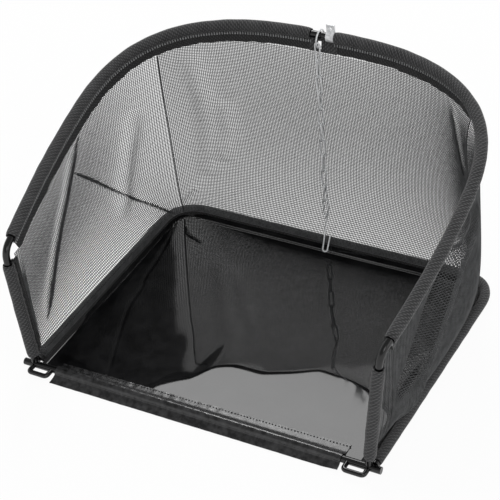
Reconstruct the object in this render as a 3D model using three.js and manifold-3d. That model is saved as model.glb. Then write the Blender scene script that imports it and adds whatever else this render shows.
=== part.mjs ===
// Grass collection bag of a hand-pushed cylinder mower: a bent steel rod frame that carries
// a see-through mesh wall and a glossy plastic floor, with a hanging chain.
// Millimetres, +Z up, X across the mouth, Y from the mouth (low) to the rear (high).
import * as THREE from "three";
import { mergeVertices } from "three/addons/utils/BufferGeometryUtils.js";
import Module from "manifold-3d";

// Driving dimensions
const GAP = 0.35; // left between pieces that touch
const ROD = 6; // diameter of the frame's steel rods
const FLOOR_WIDTH_FRONT = 306; // between the floor rod's centres at the mouth
const FLOOR_WIDTH_REAR = 314;
const FLOOR_DEPTH = 247; // front rod to rear stretch of the floor rod
const FLOOR_CORNER = 34; // how far each rear corner is rounded
const FRONT_ROD_LENGTH = 320;
const FOOT_HALF_WIDTH = 150; // feet of the rim rod on the front rod
const KNEE_HALF_WIDTH = 161; // where each front leg turns into the rim
const KNEE_BACK = 2;
const KNEE_HEIGHT = 115;
const KNEE_BEND = 9; // length of leg and of rim that the bend takes
const RIM_HALF_WIDTH = 173;
const RIM_BACK = 254.5; // rear bar behind the front rod
const RIM_HEIGHT = 209; // rear bar's centre above the ground
const RIM_LEG = 135; // along the slope, from the knee to where the corner starts
const RIM_SQUARENESS = 2.7; // 2 is an ellipse, more is squarer
const RIM_CROWN = 95; // nearly straight stretch of the rim, each side of the rear centre
const SEAM_FROM_CENTRE = 155; // wall's corner seam, along the rim from the rear centre

const SLEEVE = 10; // outer diameter of the fabric sleeves round the rods
const SLEEVE_GAP = 0.35; // between a rod and its sleeve
const HEM_THICKNESS = 1.6;
const RIM_HEM = 10; // flat hem below the rim's sleeve
const LEG_HEM = 7; // flat hem behind each front leg's sleeve
const FLOOR_HEM = 7; // flat hem inside the floor rod's sleeve
const LEG_SLEEVE_FOOT = 6; // bare leg under its sleeve
const LEG_SLEEVE_TOP = 12; // bare leg above its sleeve, up to the knee
const RIM_SLEEVE_START = 14; // bare rim behind each knee
const FLOOR_SLEEVE_START = 10; // bare floor rod behind the front rod
const NOTCH = 22; // opening in the rim's sleeve for the chain
const NOTCH_DEPTH = 13; // from the rod's centre down into the hem

const BINDING_INSET = 6.5; // binding tape inside the floor rod's centre line
const BINDING_THICKNESS = 1.6;
const BINDING_HEIGHT = 5;
const WALL_START = 14; // mesh wall behind the front legs
const WALL_CLEAR = 0.9; // from the wall's edges to the hems and the binding
const WALL_RIB = 1.6; // thickness at the wall's raised threads
const WALL_THREAD = 0.8; // thickness beside each gap of the weave
const WALL_OPEN_SHARE = 0.6; // width of a gap against the spacing of the threads
const WALL_BELLY = 6; // how quickly the wall leaves the floor's outline, as a power
const REAR_BULGE = 11;
const SIDE_BULGE = 4;
const FOLD_DEPTH = 7; // fold from each front floor corner up to the rim
const FOLD_WIDTH = 0.1; // share of the side wall's length
const FOLD_FOOT = 0.04; // where the fold starts at the floor, as a share of the side wall
const FOLD_TOP = 0.5; // where it meets the rim, likewise
const BULGE_HEIGHT = 1 / 3; // share of the wall's height at which it bulges most
const SEAM_SHARE = 0.3; // place of the corner seams on the wall's way round, from 0 to 1
const SEAM_BLEND_SHARE = 0.05; // stretch over which the rear bulge fades at each seam
const REAR_COLUMNS = 15;
const SIDE_COLUMNS = 10;
const WALL_ROWS = 7;

const SHEET = 1; // plastic floor sheet
const SHEET_SAG = 3.2;
const SHEET_FRONT = 4.6; // sheet's front edge behind the front rod's centre
const SHEET_CLEAR = 0.8; // between the sheet and the hem that it is sewn to
const SHEET_WAVE = 0.5;
const SHEET_WAVE_X = 32;
const SHEET_WAVE_Y = 41;
const LIP_THICKNESS = 1.2;
const LIP_EYE_CLEAR = 3; // from each end of the lip to the mounting eye beside it
const LIP_SEAM_BACK = 18; // stitched edge behind the front rod
const LIP_REACH = 9; // free edge before the front rod
const LIP_DROP_TO = 1.3; // free edge above the ground
const LIP_LIFT = 0.4; // slack between the stitched edge and the rod
const LIP_ARC_FROM = 60; // degrees round the rod at which the strip meets it

const EYE_WIRE = 4;
const EYE_INNER = 133; // inner bar of each mounting eye
const EYE_OUTER = 150;
const EYE_REACH = 10; // front bar before the front rod
const EYE_CORNER = 3; // how far each of its corners is rounded

const CHAIN_X = -3;
const CHAIN_WIRE = 1.5;
const CHAIN_LINK_WIDTH = 5.8;
const CHAIN_LINKS = 11;
const CHAIN_END = 32.9; // height at which the last link ends and the hook starts
const CHAIN_FORWARD = 6; // chain before the rear bar's centre
const CHAIN_DROP = 4.5; // first link's top bar below the rear bar's centre
const RING_WIRE = 1.5;
const RING_INNER = 14; // ring's inner diameter
const HOOK_LEAN = 20; // hook's tip before its eye
const HOOK_SIDE = 5;
const HOOK_PRONG = 13;
const HOOK_BEND = 2.2; // radius of the hook's bend
const HOOK_SPREAD = 1; // prong's tip beyond the bend
const HOOK_EYE_TURN = 1.5; // half turns of wire in the hook's eye
const CLIP_WIDTH = 7;
const CLIP_THICKNESS = 1.1;
const CLIP_LUG = 7; // lug above the rod
const CLIP_HOLE = 2.8;
const CLIP_X = 3.6; // clip's nearer edge from the middle of the bag

// Counts that only set how smooth a round stretch is
const ROD_SIDES = 8;
const WIRE_SIDES = 6;
const SLEEVE_SIDES = 12;
const LEG_STEPS = 4;
const ARCH_CORNER_STEPS = 10;
const CROWN_STEPS = 4;
const CORNER_STEPS = 6;
const LINK_END_STEPS = 4;
const BEND_STEPS = 4;
const HOOK_EYE_STEPS = 9;
const HOOK_BEND_STEPS = 5;
const RING_STEPS = 20;
const CLIP_STEPS = 16;
const CLIP_HOLE_SIDES = 12;
const LIP_ARC_STEPS = 6;
const SHEET_COLUMNS = 8;
const SHEET_ROWS = 14;
const STATION_ROOM = 1; // least distance between two stations of a swept piece

const wasm = await Module();
wasm.setup();

const rodRadius = ROD / 2;
const sleeveRadius = SLEEVE / 2;
const floorRodHeight = sleeveRadius;
const rimHemReach = sleeveRadius + RIM_HEM;
const wallFootHeight = floorRodHeight + HEM_THICKNESS / 2 + GAP + BINDING_HEIGHT + WALL_CLEAR;
const v3 = (x, y, z) => new THREE.Vector3(x, y, z);

// A path through given points. Each station's section stands square to the path,
// its second axis turned towards a given direction where one is stated.
class Route extends THREE.Curve {
  constructor(points, downs) {
    super();
    this.points = points;
    this.downs = downs;
  }
  getPoint(t) {
    return this.points[Math.round(t * (this.points.length - 1))].clone();
  }
  getSpacedPoints() {
    return this.points;
  }
  computeFrenetFrames() {
    const last = this.points.length - 1;
    const tangents = this.points.map((_, i) =>
      this.points[Math.min(i + 1, last)].clone().sub(this.points[Math.max(i - 1, 0)]).normalize(),
    );
    const normals = [];
    const binormals = [];
    let down = Math.abs(tangents[0].z) > 0.7 ? v3(0, 1, 0) : v3(0, 0, -1);
    tangents.forEach((tangent, i) => {
      if (this.downs) down = this.downs[i].clone();
      down = down.addScaledVector(tangent, -down.dot(tangent)).normalize();
      binormals.push(down.clone());
      normals.push(down.clone().cross(tangent));
    });
    return { tangents, normals, binormals };
  }
}

function sweep(section, points, downs) {
  const extrudePath = new Route(points, downs);
  return new THREE.ExtrudeGeometry(section, { steps: points.length - 1, bevelEnabled: false, extrudePath });
}

function ringPoints(radius, sides, from = 0, to = 2 * Math.PI, closed = true) {
  const count = closed ? sides : sides + 1;
  return Array.from({ length: count }, (_, i) => {
    const angle = from + ((to - from) * i) / sides;
    return new THREE.Vector2(radius * Math.cos(angle), radius * Math.sin(angle));
  });
}

const roundSection = (diameter, sides) => new THREE.Shape(ringPoints(diameter / 2, sides));

// A tube of fabric round a rod, with a flat hem that leaves it along the section's second axis.
function sleeveSection(hem) {
  const half = HEM_THICKNESS / 2;
  const lead = Math.asin(half / sleeveRadius);
  const flat = Math.PI / SLEEVE_SIDES; // half the angle of the flat side on which the sleeve rests
  const reach = sleeveRadius + hem;
  const shape = new THREE.Shape([
    ...ringPoints(sleeveRadius, 2, Math.PI / 2 + lead, Math.PI - flat, false),
    ...ringPoints(sleeveRadius, SLEEVE_SIDES / 2 - 1, Math.PI + flat, 2 * Math.PI - flat, false),
    ...ringPoints(sleeveRadius, 2, flat, Math.PI / 2 - lead, false),
    new THREE.Vector2(half, reach),
    new THREE.Vector2(-half, reach),
  ]);
  shape.holes.push(new THREE.Path(ringPoints(rodRadius + SLEEVE_GAP, ROD_SIDES).reverse()));
  return shape;
}

function asSolid(geometry) {
  const plain = new THREE.BufferGeometry();
  plain.setAttribute("position", geometry.getAttribute("position").clone());
  if (geometry.index) plain.setIndex(geometry.index);
  const merged = mergeVertices(plain, 1e-3);
  return new wasm.Manifold(
    new wasm.Mesh({
      numProp: 3,
      vertProperties: new Float32Array(merged.attributes.position.array),
      triVerts: new Uint32Array(merged.index.array),
    }),
  );
}

function asGeometry(solid) {
  const mesh = solid.getMesh();
  const geometry = new THREE.BufferGeometry();
  geometry.setAttribute("position", new THREE.BufferAttribute(mesh.vertProperties, 3));
  geometry.setIndex(new THREE.BufferAttribute(mesh.triVerts, 1));
  return geometry;
}

// The floor rod's outline, moved inwards: straight sides that spread a little, and round corners.
function floorOutline(inset, start) {
  const halfFront = FLOOR_WIDTH_FRONT / 2 - inset;
  const halfRear = FLOOR_WIDTH_REAR / 2 - inset;
  const rear = FLOOR_DEPTH - inset;
  const round = FLOOR_CORNER - inset;
  const side = new THREE.Vector2(halfRear - halfFront, FLOOR_DEPTH).normalize();
  const half = (y) => halfFront + ((halfRear - halfFront) * y) / FLOOR_DEPTH;
  const turnY = rear - round * side.y;
  const outline = new THREE.CurvePath();
  const flat = (x, y) => new THREE.Vector2(x, y);
  // the left side's points; the right side mirrors them
  const front = flat(-half(start), start);
  const turn = flat(-half(turnY), turnY);
  const corner = flat(-half(rear), rear);
  const back = flat(round - half(rear), rear);
  const mirrored = (point) => flat(-point.x, point.y);
  outline.add(new THREE.LineCurve(front, turn));
  outline.add(new THREE.QuadraticBezierCurve(turn, corner, back));
  outline.add(new THREE.LineCurve(back, mirrored(back)));
  outline.add(new THREE.QuadraticBezierCurve(mirrored(back), mirrored(corner), mirrored(turn)));
  outline.add(new THREE.LineCurve(mirrored(turn), mirrored(front)));
  return outline;
}

// Share of a floor outline's length at which the middle of its first corner lies.
function cornerShare(outline) {
  const lengths = outline.curves.map((curve) => curve.getLength());
  const total = lengths.reduce((sum, length) => sum + length, 0);
  return (lengths[0] + lengths[1] / 2) / total;
}

// The rim's centre line, from the left knee over the rear bar to the right knee.
const rimSlope = v3(0, RIM_BACK - KNEE_BACK, RIM_HEIGHT - KNEE_HEIGHT);
const rimRun = rimSlope.length();
rimSlope.normalize();
class RimCurve extends THREE.Curve {
  getPoint(t) {
    const side = t < 0.5 ? -1 : 1;
    const share = 1 - Math.abs(2 * t - 1);
    let half;
    let along;
    if (share < 0.5) {
      along = RIM_LEG * 2 * share;
      half = KNEE_HALF_WIDTH + (RIM_HALF_WIDTH - KNEE_HALF_WIDTH) * Math.sin(Math.PI * share);
    } else {
      const angle = (share - 0.5) * Math.PI;
      const power = 2 / RIM_SQUARENESS;
      half = RIM_HALF_WIDTH * Math.max(0, Math.cos(angle)) ** power;
      along = RIM_LEG + (rimRun - RIM_LEG) * Math.sin(angle) ** power;
    }
    return v3(side * half, KNEE_BACK, KNEE_HEIGHT).addScaledVector(rimSlope, along);
  }
}
const rim = new RimCurve();
rim.arcLengthDivisions = 800;
const rimLength = rim.getLength();

// Shares of the rim's length at which the rod and its sleeve have their stations,
// from one share to another with both of these included.
function rimStations(from, to) {
  const legEnd = RIM_LEG / rimLength;
  const crown = 0.5 - RIM_CROWN / rimLength;
  const half = [];
  for (let i = 1; i < LEG_STEPS; i++) half.push((legEnd * i) / LEG_STEPS);
  for (let i = 0; i < ARCH_CORNER_STEPS; i++) half.push(legEnd + ((crown - legEnd) * i) / ARCH_CORNER_STEPS);
  for (let i = 0; i < CROWN_STEPS; i++) half.push(crown + ((0.5 - crown) * i) / CROWN_STEPS);
  const all = [...half, 0.5, ...half.map((share) => 1 - share).reverse()];
  const room = STATION_ROOM / rimLength;
  return [from, ...all.filter((share) => share > from + room && share < to - room), to];
}

// Places on the wall are a share of its way round (0 left front, 1 right front),
// with the corner seams at fixed shares.
const wallFootOutline = floorOutline(BINDING_INSET, WALL_START);
const footSeam = cornerShare(wallFootOutline);
const rimStart = WALL_START / rimLength;
const rimSeam = 0.5 - SEAM_FROM_CENTRE / rimLength;
function spread(w, start, seam) {
  const left = w < 0.5 ? w : 1 - w;
  const share = left < SEAM_SHARE
    ? start + ((seam - start) * left) / SEAM_SHARE
    : seam + ((0.5 - seam) * (left - SEAM_SHARE)) / (0.5 - SEAM_SHARE);
  return w < 0.5 ? share : 1 - share;
}
function wallFoot(w) {
  const point = wallFootOutline.getPointAt(THREE.MathUtils.clamp(spread(w, 0, footSeam), 0, 1));
  return v3(point.x, point.y, wallFootHeight);
}
const rimAt = (w) => rim.getPointAt(spread(w, rimStart, rimSeam));
// The way in which the hem and the wall leave the rim: towards the wall's foot, square to the rim.
function hemDown(w) {
  const tangent = rim.getTangentAt(spread(w, rimStart, rimSeam));
  const down = wallFoot(w).sub(rimAt(w));
  return down.addScaledVector(tangent, -down.dot(tangent)).normalize();
}
const hemEnd = (w) => rimAt(w).addScaledVector(hemDown(w), rimHemReach + WALL_CLEAR);

// A point of the mesh wall: w round the bag, t from the foot up to the hem.
function wallPoint(w, t) {
  const foot = wallFoot(w);
  const top = hemEnd(w);
  const ease = 1 - (1 - t) ** WALL_BELLY;
  const point = v3(
    foot.x + (top.x - foot.x) * ease,
    foot.y + (top.y - foot.y) * ease,
    foot.z + (top.z - foot.z) * t,
  );
  const swell = (t / BULGE_HEIGHT) * ((1 - t) / (1 - BULGE_HEIGHT)) ** (1 / BULGE_HEIGHT - 1);
  const left = w < 0.5 ? w : 1 - w;
  const side = w < 0.5 ? -1 : 1;
  const fromSeam = left - SEAM_SHARE;
  const rearShare = THREE.MathUtils.smoothstep(fromSeam, -SEAM_BLEND_SHARE, SEAM_BLEND_SHARE);
  point.y += REAR_BULGE * swell * rearShare;
  const along = left / SEAM_SHARE;
  const sideShare = along < 1 ? Math.sin(Math.PI * along) : 0;
  point.x += side * SIDE_BULGE * swell * sideShare;
  const crease = (along - FOLD_FOOT - (FOLD_TOP - FOLD_FOOT) * t) / FOLD_WIDTH;
  const tuck = Math.exp(-crease * crease) * Math.sin(Math.PI * t);
  point.x -= side * FOLD_DEPTH * tuck * (along < 1 ? 1 : 0);
  return point;
}

// A thin shell over a grid of points. With a window share above 0 each cell of the grid
// has a gap, and the grid's lines stand proud as ridges.
function shell(surface, columns, rows, ridge, thin, windowShare) {
  const step = 1e-3;
  const positions = [];
  const faces = [];
  function place(u, v, thickness) {
    const point = surface(u, v);
    const across = surface(Math.min(1, u + step), v).sub(surface(Math.max(0, u - step), v));
    const up = surface(u, Math.min(1, v + step)).sub(surface(u, Math.max(0, v - step)));
    const normal = across.cross(up).normalize();
    const first = positions.length / 3;
    positions.push(...point.clone().addScaledVector(normal, thickness / 2).toArray());
    positions.push(...point.clone().addScaledVector(normal, -thickness / 2).toArray());
    return { front: first, back: first + 1 };
  }
  const quad = (a, b, c, d) => faces.push(a, b, c, a, c, d);
  const knots = [];
  for (let j = 0; j <= rows; j++)
    knots.push(Array.from({ length: columns + 1 }, (_, i) => place(i / columns, j / rows, ridge)));
  for (let j = 0; j < rows; j++)
    for (let i = 0; i < columns; i++) {
      const outer = [knots[j][i], knots[j][i + 1], knots[j + 1][i + 1], knots[j + 1][i]];
      if (!windowShare) {
        quad(...outer.map((knot) => knot.front));
        quad(...outer.map((knot) => knot.back).reverse());
        continue;
      }
      const low = (1 - windowShare) / 2;
      const high = 1 - low;
      const inner = [[low, low], [high, low], [high, high], [low, high]].map(([du, dv]) =>
        place((i + du) / columns, (j + dv) / rows, thin),
      );
      for (let k = 0; k < 4; k++) {
        const next = (k + 1) % 4;
        quad(outer[k].front, outer[next].front, inner[next].front, inner[k].front);
        quad(outer[next].back, outer[k].back, inner[k].back, inner[next].back);
        quad(inner[k].front, inner[next].front, inner[next].back, inner[k].back);
      }
    }
  const edge = (a, b) => quad(b.front, a.front, a.back, b.back);
  for (let i = 0; i < columns; i++) {
    edge(knots[0][i], knots[0][i + 1]);
    edge(knots[rows][i + 1], knots[rows][i]);
  }
  for (let j = 0; j < rows; j++) {
    edge(knots[j][columns], knots[j + 1][columns]);
    edge(knots[j + 1][0], knots[j][0]);
  }
  const geometry = new THREE.BufferGeometry();
  geometry.setAttribute("position", new THREE.Float32BufferAttribute(positions, 3));
  geometry.setIndex(faces);
  return geometry;
}

// Frame
function rimRod() {
  const points = [];
  const footHeight = floorRodHeight + rodRadius + GAP;
  for (const side of [-1, 1]) {
    const foot = v3(side * FOOT_HALF_WIDTH, 0, footHeight);
    const knee = rim.getPointAt(side < 0 ? 0 : 1);
    const legEnd = knee.clone().addScaledVector(knee.clone().sub(foot).normalize(), -KNEE_BEND);
    const rimBegin = rim.getPointAt(side < 0 ? KNEE_BEND / rimLength : 1 - KNEE_BEND / rimLength);
    const bend = new THREE.QuadraticBezierCurve3(legEnd, knee, rimBegin).getPoints(BEND_STEPS);
    const leg = [foot, ...bend];
    if (side > 0) leg.reverse();
    points.push(leg);
  }
  const bendShare = KNEE_BEND / rimLength;
  const arch = rimStations(bendShare, 1 - bendShare).slice(1, -1).map((share) => rim.getPointAt(share));
  return sweep(roundSection(ROD, ROD_SIDES), [...points[0], ...arch, ...points[1]]);
}

function floorRoute(inset, start, height) {
  const points = [];
  floorOutline(inset, start).curves.forEach((curve, k) => {
    const stretch = curve.getPoints(curve.isLineCurve ? 2 : CORNER_STEPS);
    if (k) stretch.shift();
    points.push(...stretch);
  });
  return points.map((point) => v3(point.x, point.y, height));
}

const floorFrameRod = () =>
  sweep(roundSection(ROD, ROD_SIDES), floorRoute(0, rodRadius + GAP, floorRodHeight));

function frontRod() {
  const half = FRONT_ROD_LENGTH / 2;
  return sweep(roundSection(ROD, ROD_SIDES), [v3(-half, 0, floorRodHeight), v3(half, 0, floorRodHeight)]);
}

// A wire eye welded to the front rod, which hooks the bag to the mower.
function mountingEye(side) {
  const start = -rodRadius - GAP;
  const outer = side * EYE_OUTER;
  const inner = side * EYE_INNER;
  const round = (a, b, c) => new THREE.QuadraticBezierCurve3(a, b, c).getPoints(BEND_STEPS);
  const points = [
    v3(outer, start, floorRodHeight),
    ...round(
      v3(outer, EYE_CORNER - EYE_REACH, floorRodHeight),
      v3(outer, -EYE_REACH, floorRodHeight),
      v3(outer - side * EYE_CORNER, -EYE_REACH, floorRodHeight),
    ),
    ...round(
      v3(inner + side * EYE_CORNER, -EYE_REACH, floorRodHeight),
      v3(inner, -EYE_REACH, floorRodHeight),
      v3(inner, EYE_CORNER - EYE_REACH, floorRodHeight),
    ),
    v3(inner, start, floorRodHeight),
  ];
  return sweep(roundSection(EYE_WIRE, ROD_SIDES), points);
}

// Fabric
function rimSleeve() {
  const notchShare = NOTCH / 2 / rimLength;
  const toW = (share) => {
    const left = share < 0.5 ? share : 1 - share;
    const w = left < rimSeam
      ? ((left - rimStart) / (rimSeam - rimStart)) * SEAM_SHARE
      : SEAM_SHARE + ((left - rimSeam) / (0.5 - rimSeam)) * (0.5 - SEAM_SHARE);
    return share < 0.5 ? w : 1 - w;
  };
  const stretch = (from, to, section) => {
    const places = rimStations(from, to).map(toW);
    return asSolid(sweep(section, places.map(rimAt), places.map(hemDown)));
  };
  const start = RIM_SLEEVE_START / rimLength;
  const section = sleeveSection(RIM_HEM);
  const half = HEM_THICKNESS / 2;
  const strip = new THREE.Shape([
    new THREE.Vector2(half, NOTCH_DEPTH),
    new THREE.Vector2(half, rimHemReach),
    new THREE.Vector2(-half, rimHemReach),
    new THREE.Vector2(-half, NOTCH_DEPTH),
  ]);
  const overlap = STATION_ROOM / rimLength;
  return asGeometry(
    stretch(start, 0.5 - notchShare, section)
      .add(stretch(0.5 + notchShare, 1 - start, section))
      .add(stretch(0.5 - notchShare - overlap, 0.5 + notchShare + overlap, strip)),
  );
}

function legSleeve(side) {
  const foot = v3(side * FOOT_HALF_WIDTH, 0, floorRodHeight + rodRadius + GAP);
  const knee = v3(side * KNEE_HALF_WIDTH, KNEE_BACK, KNEE_HEIGHT);
  const way = knee.clone().sub(foot).normalize();
  const from = foot.clone().addScaledVector(way, LEG_SLEEVE_FOOT);
  const to = knee.clone().addScaledVector(way, -LEG_SLEEVE_TOP);
  const points = [from, from.clone().lerp(to, 0.5), to];
  return sweep(sleeveSection(LEG_HEM), points, points.map(() => v3(0, 1, 0)));
}

function floorSleeve() {
  const points = floorRoute(0, FLOOR_SLEEVE_START, floorRodHeight);
  const inward = points.map((point, i) => {
    const next = points[Math.min(i + 1, points.length - 1)];
    const last = points[Math.max(i - 1, 0)];
    return v3(next.y - last.y, last.x - next.x, 0).normalize();
  });
  return sweep(sleeveSection(FLOOR_HEM), points, inward);
}

function floorBinding() {
  const half = BINDING_THICKNESS / 2;
  const middle = floorRodHeight + HEM_THICKNESS / 2 + GAP + BINDING_HEIGHT / 2;
  const section = new THREE.Shape([
    new THREE.Vector2(half, -BINDING_HEIGHT / 2),
    new THREE.Vector2(half, BINDING_HEIGHT / 2),
    new THREE.Vector2(-half, BINDING_HEIGHT / 2),
    new THREE.Vector2(-half, -BINDING_HEIGHT / 2),
  ]);
  const points = floorRoute(BINDING_INSET, WALL_START, middle);
  return sweep(section, points, points.map(() => v3(0, 0, -1)));
}

function wallPanel(from, to, columns) {
  const surface = (u, v) => wallPoint(from + (to - from) * u, v);
  return shell(surface, columns, WALL_ROWS, WALL_RIB, WALL_THREAD, WALL_OPEN_SHARE);
}

function floorSheet() {
  const outline = floorOutline(sleeveRadius + FLOOR_HEM + SHEET_CLEAR, SHEET_FRONT);
  const lengths = outline.curves.map((curve) => curve.getLength());
  const total = lengths.reduce((sum, length) => sum + length, 0);
  const leftShare = (lengths[0] + lengths[1]) / total;
  const surface = (u, v) => {
    const left = outline.getPointAt(leftShare * v);
    const x = left.x * (1 - 2 * u);
    const slack = (1 - (2 * u - 1) ** 4) * (1 - (2 * v - 1) ** 4);
    const wave = SHEET_WAVE * Math.sin(x / SHEET_WAVE_X) * Math.cos(left.y / SHEET_WAVE_Y);
    return v3(x, left.y, floorRodHeight - (SHEET_SAG - wave) * slack);
  };
  return shell(surface, SHEET_COLUMNS, SHEET_ROWS, SHEET, SHEET, 0);
}

// A strip of given thickness along a polyline in the plane of Y and Z, extruded across the mouth.
function ribbonAcross(line, thickness, half) {
  const sides = [1, -1].map((sign) =>
    line.map((point, i) => {
      const next = line[Math.min(i + 1, line.length - 1)];
      const last = line[Math.max(i - 1, 0)];
      const way = next.clone().sub(last).normalize();
      const aside = new THREE.Vector2(-way.y, way.x);
      return point.clone().addScaledVector(aside, (sign * thickness) / 2);
    }),
  );
  const shape = new THREE.Shape([...sides[0], ...sides[1].reverse()]);
  const geometry = new THREE.ExtrudeGeometry(shape, { depth: 2 * half, steps: 1, bevelEnabled: false });
  // the section's plane of X and Y becomes the plane of Y and Z
  const turned = new THREE.Matrix4().makeBasis(v3(0, 1, 0), v3(0, 0, 1), v3(1, 0, 0));
  return geometry.applyMatrix4(turned).translate(-half, 0, 0);
}

// The plastic strip sewn on the floor sheet, led over the front rod and left hanging as a lip.
function frontLip() {
  const wrap = rodRadius + GAP + LIP_THICKNESS / 2;
  const seamHeight = floorRodHeight + SHEET / 2 + GAP + LIP_THICKNESS / 2;
  const arc = [];
  for (let k = 0; k <= LIP_ARC_STEPS; k++) {
    const angle = THREE.MathUtils.degToRad(LIP_ARC_FROM + ((180 - LIP_ARC_FROM) * k) / LIP_ARC_STEPS);
    arc.push(new THREE.Vector2(wrap * Math.cos(angle), floorRodHeight + wrap * Math.sin(angle)));
  }
  const line = [
    new THREE.Vector2(LIP_SEAM_BACK, seamHeight),
    new THREE.Vector2(LIP_SEAM_BACK / 2, seamHeight + LIP_LIFT),
    ...arc,
    new THREE.Vector2(-LIP_REACH, LIP_DROP_TO),
  ];
  return ribbonAcross(line, LIP_THICKNESS, EYE_INNER - EYE_WIRE / 2 - LIP_EYE_CLEAR);
}

// Chain
const chainY = RIM_BACK - CHAIN_FORWARD;
const chainTop = RIM_HEIGHT - CHAIN_DROP; // centre of the first link's top bar
const chainPitch = (chainTop - CHAIN_END) / CHAIN_LINKS;

function chainRing() {
  const radius = (RING_INNER + RING_WIRE) / 2;
  const drop = RING_INNER / 2 - rodRadius - GAP;
  const ring = new THREE.TorusGeometry(radius, RING_WIRE / 2, WIRE_SIDES, RING_STEPS);
  ring.rotateY(Math.PI / 2);
  return ring.translate(CHAIN_X, RIM_BACK, RIM_HEIGHT - drop);
}

// A wire link bent from one piece, with its butt joint in the middle of one long side.
const linkHalf = (chainPitch + CHAIN_WIRE + GAP) / 2; // from its middle to its end bars' centres
const linkRadius = (CHAIN_LINK_WIDTH - CHAIN_WIRE) / 2;
const linkMiddle = (index) => chainTop - linkHalf - index * chainPitch;
const isFaceOn = (index) => index % 2 === 0;
function chainLink(index) {
  const straight = linkHalf - linkRadius;
  const flat = [];
  flat.push([linkRadius, GAP / 2]);
  for (const end of [0, 1])
    for (let k = 0; k <= LINK_END_STEPS; k++) {
      const angle = Math.PI * (end + k / LINK_END_STEPS);
      flat.push([linkRadius * Math.cos(angle), (1 - 2 * end) * straight + linkRadius * Math.sin(angle)]);
    }
  flat.push([linkRadius, -GAP / 2]);
  const middle = linkMiddle(index);
  const points = flat.map(([a, b]) =>
    isFaceOn(index) ? v3(CHAIN_X + a, chainY, middle + b) : v3(CHAIN_X, chainY + a, middle + b),
  );
  return sweep(roundSection(CHAIN_WIRE, WIRE_SIDES), points);
}

// The wire hook under the last link: a small eye, a shank that leans forward, and a prong.
function chainHook() {
  const last = CHAIN_LINKS - 1;
  const eyeCentre = linkMiddle(last) - linkHalf + CHAIN_WIRE + GAP - linkRadius;
  // the eye lies square to the last link, and its wire leaves it towards the prong
  const turn = isFaceOn(last) ? 1 : -1;
  const loop = [];
  for (let k = 0; k <= HOOK_EYE_STEPS; k++) {
    const angle = Math.PI * (0.5 + turn * HOOK_EYE_TURN * (0.5 - k / HOOK_EYE_STEPS));
    const a = linkRadius * Math.cos(angle);
    const b = eyeCentre + linkRadius * Math.sin(angle);
    loop.push(isFaceOn(last) ? v3(CHAIN_X, chainY + a, b) : v3(CHAIN_X + a, chainY, b));
  }
  const bendHeight = floorRodHeight + SHEET + HOOK_BEND + CHAIN_WIRE / 2 + GAP;
  const foot = v3(CHAIN_X + HOOK_SIDE, chainY - HOOK_LEAN, bendHeight);
  const start = loop[loop.length - 1];
  const way = foot.clone().sub(start).normalize();
  const aside = v3(1, 0, 0);
  const points = [...loop];
  points.push(start.clone().lerp(foot, 0.5), foot.clone());
  for (let k = 1; k <= HOOK_BEND_STEPS; k++) {
    const angle = (k * Math.PI) / HOOK_BEND_STEPS;
    points.push(
      foot
        .clone()
        .addScaledVector(aside, HOOK_BEND * (1 - Math.cos(angle)))
        .addScaledVector(way, HOOK_BEND * Math.sin(angle)),
    );
  }
  const tip = foot.clone().addScaledVector(aside, 2 * HOOK_BEND + HOOK_SPREAD);
  points.push(tip.addScaledVector(way, -HOOK_PRONG));
  return sweep(roundSection(CHAIN_WIRE, WIRE_SIDES), points);
}

// A sheet-metal saddle beside the ring, with a holed lug above the rod.
function chainClip() {
  const inner = rodRadius + GAP;
  const outer = inner + CLIP_THICKNESS;
  const lugTop = outer + CLIP_LUG;
  const half = CLIP_THICKNESS;
  const lead = Math.asin(half / outer);
  const start = Math.PI / 2 + lead;
  const outline = new THREE.Shape([
    ...ringPoints(outer, CLIP_STEPS, start, start + 2 * Math.PI - 2 * lead, false),
    new THREE.Vector2(half, lugTop),
    new THREE.Vector2(-half, lugTop),
  ]);
  outline.holes.push(new THREE.Path(ringPoints(inner, ROD_SIDES).reverse()));
  const band = new THREE.ExtrudeGeometry(outline, { depth: CLIP_WIDTH, steps: 1, bevelEnabled: false });
  const turned = new THREE.Matrix4().makeBasis(v3(0, 1, 0), v3(0, 0, 1), v3(1, 0, 0));
  band.applyMatrix4(turned);
  const hole = new THREE.CylinderGeometry(CLIP_HOLE / 2, CLIP_HOLE / 2, 4 * half, CLIP_HOLE_SIDES);
  const drilled = asSolid(band).subtract(
    asSolid(hole.translate(CLIP_WIDTH / 2, 0, outer + CLIP_LUG / 2)),
  );
  return asGeometry(drilled).translate(CLIP_X, RIM_BACK, RIM_HEIGHT);
}

// Finishes
function finish(color, roughness, metalness) {
  return new THREE.MeshStandardMaterial({ color, roughness, metalness });
}
const blackPaint = finish("#101012", 0.3, 0.2);
const blackFabric = finish("#262627", 0.9, 0);
const greyMesh = finish("#3a3b3c", 0.8, 0);
const blackPlastic = finish("#141415", 0.12, 0);
const zinc = finish("#b9bbbd", 0.35, 1);

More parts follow.
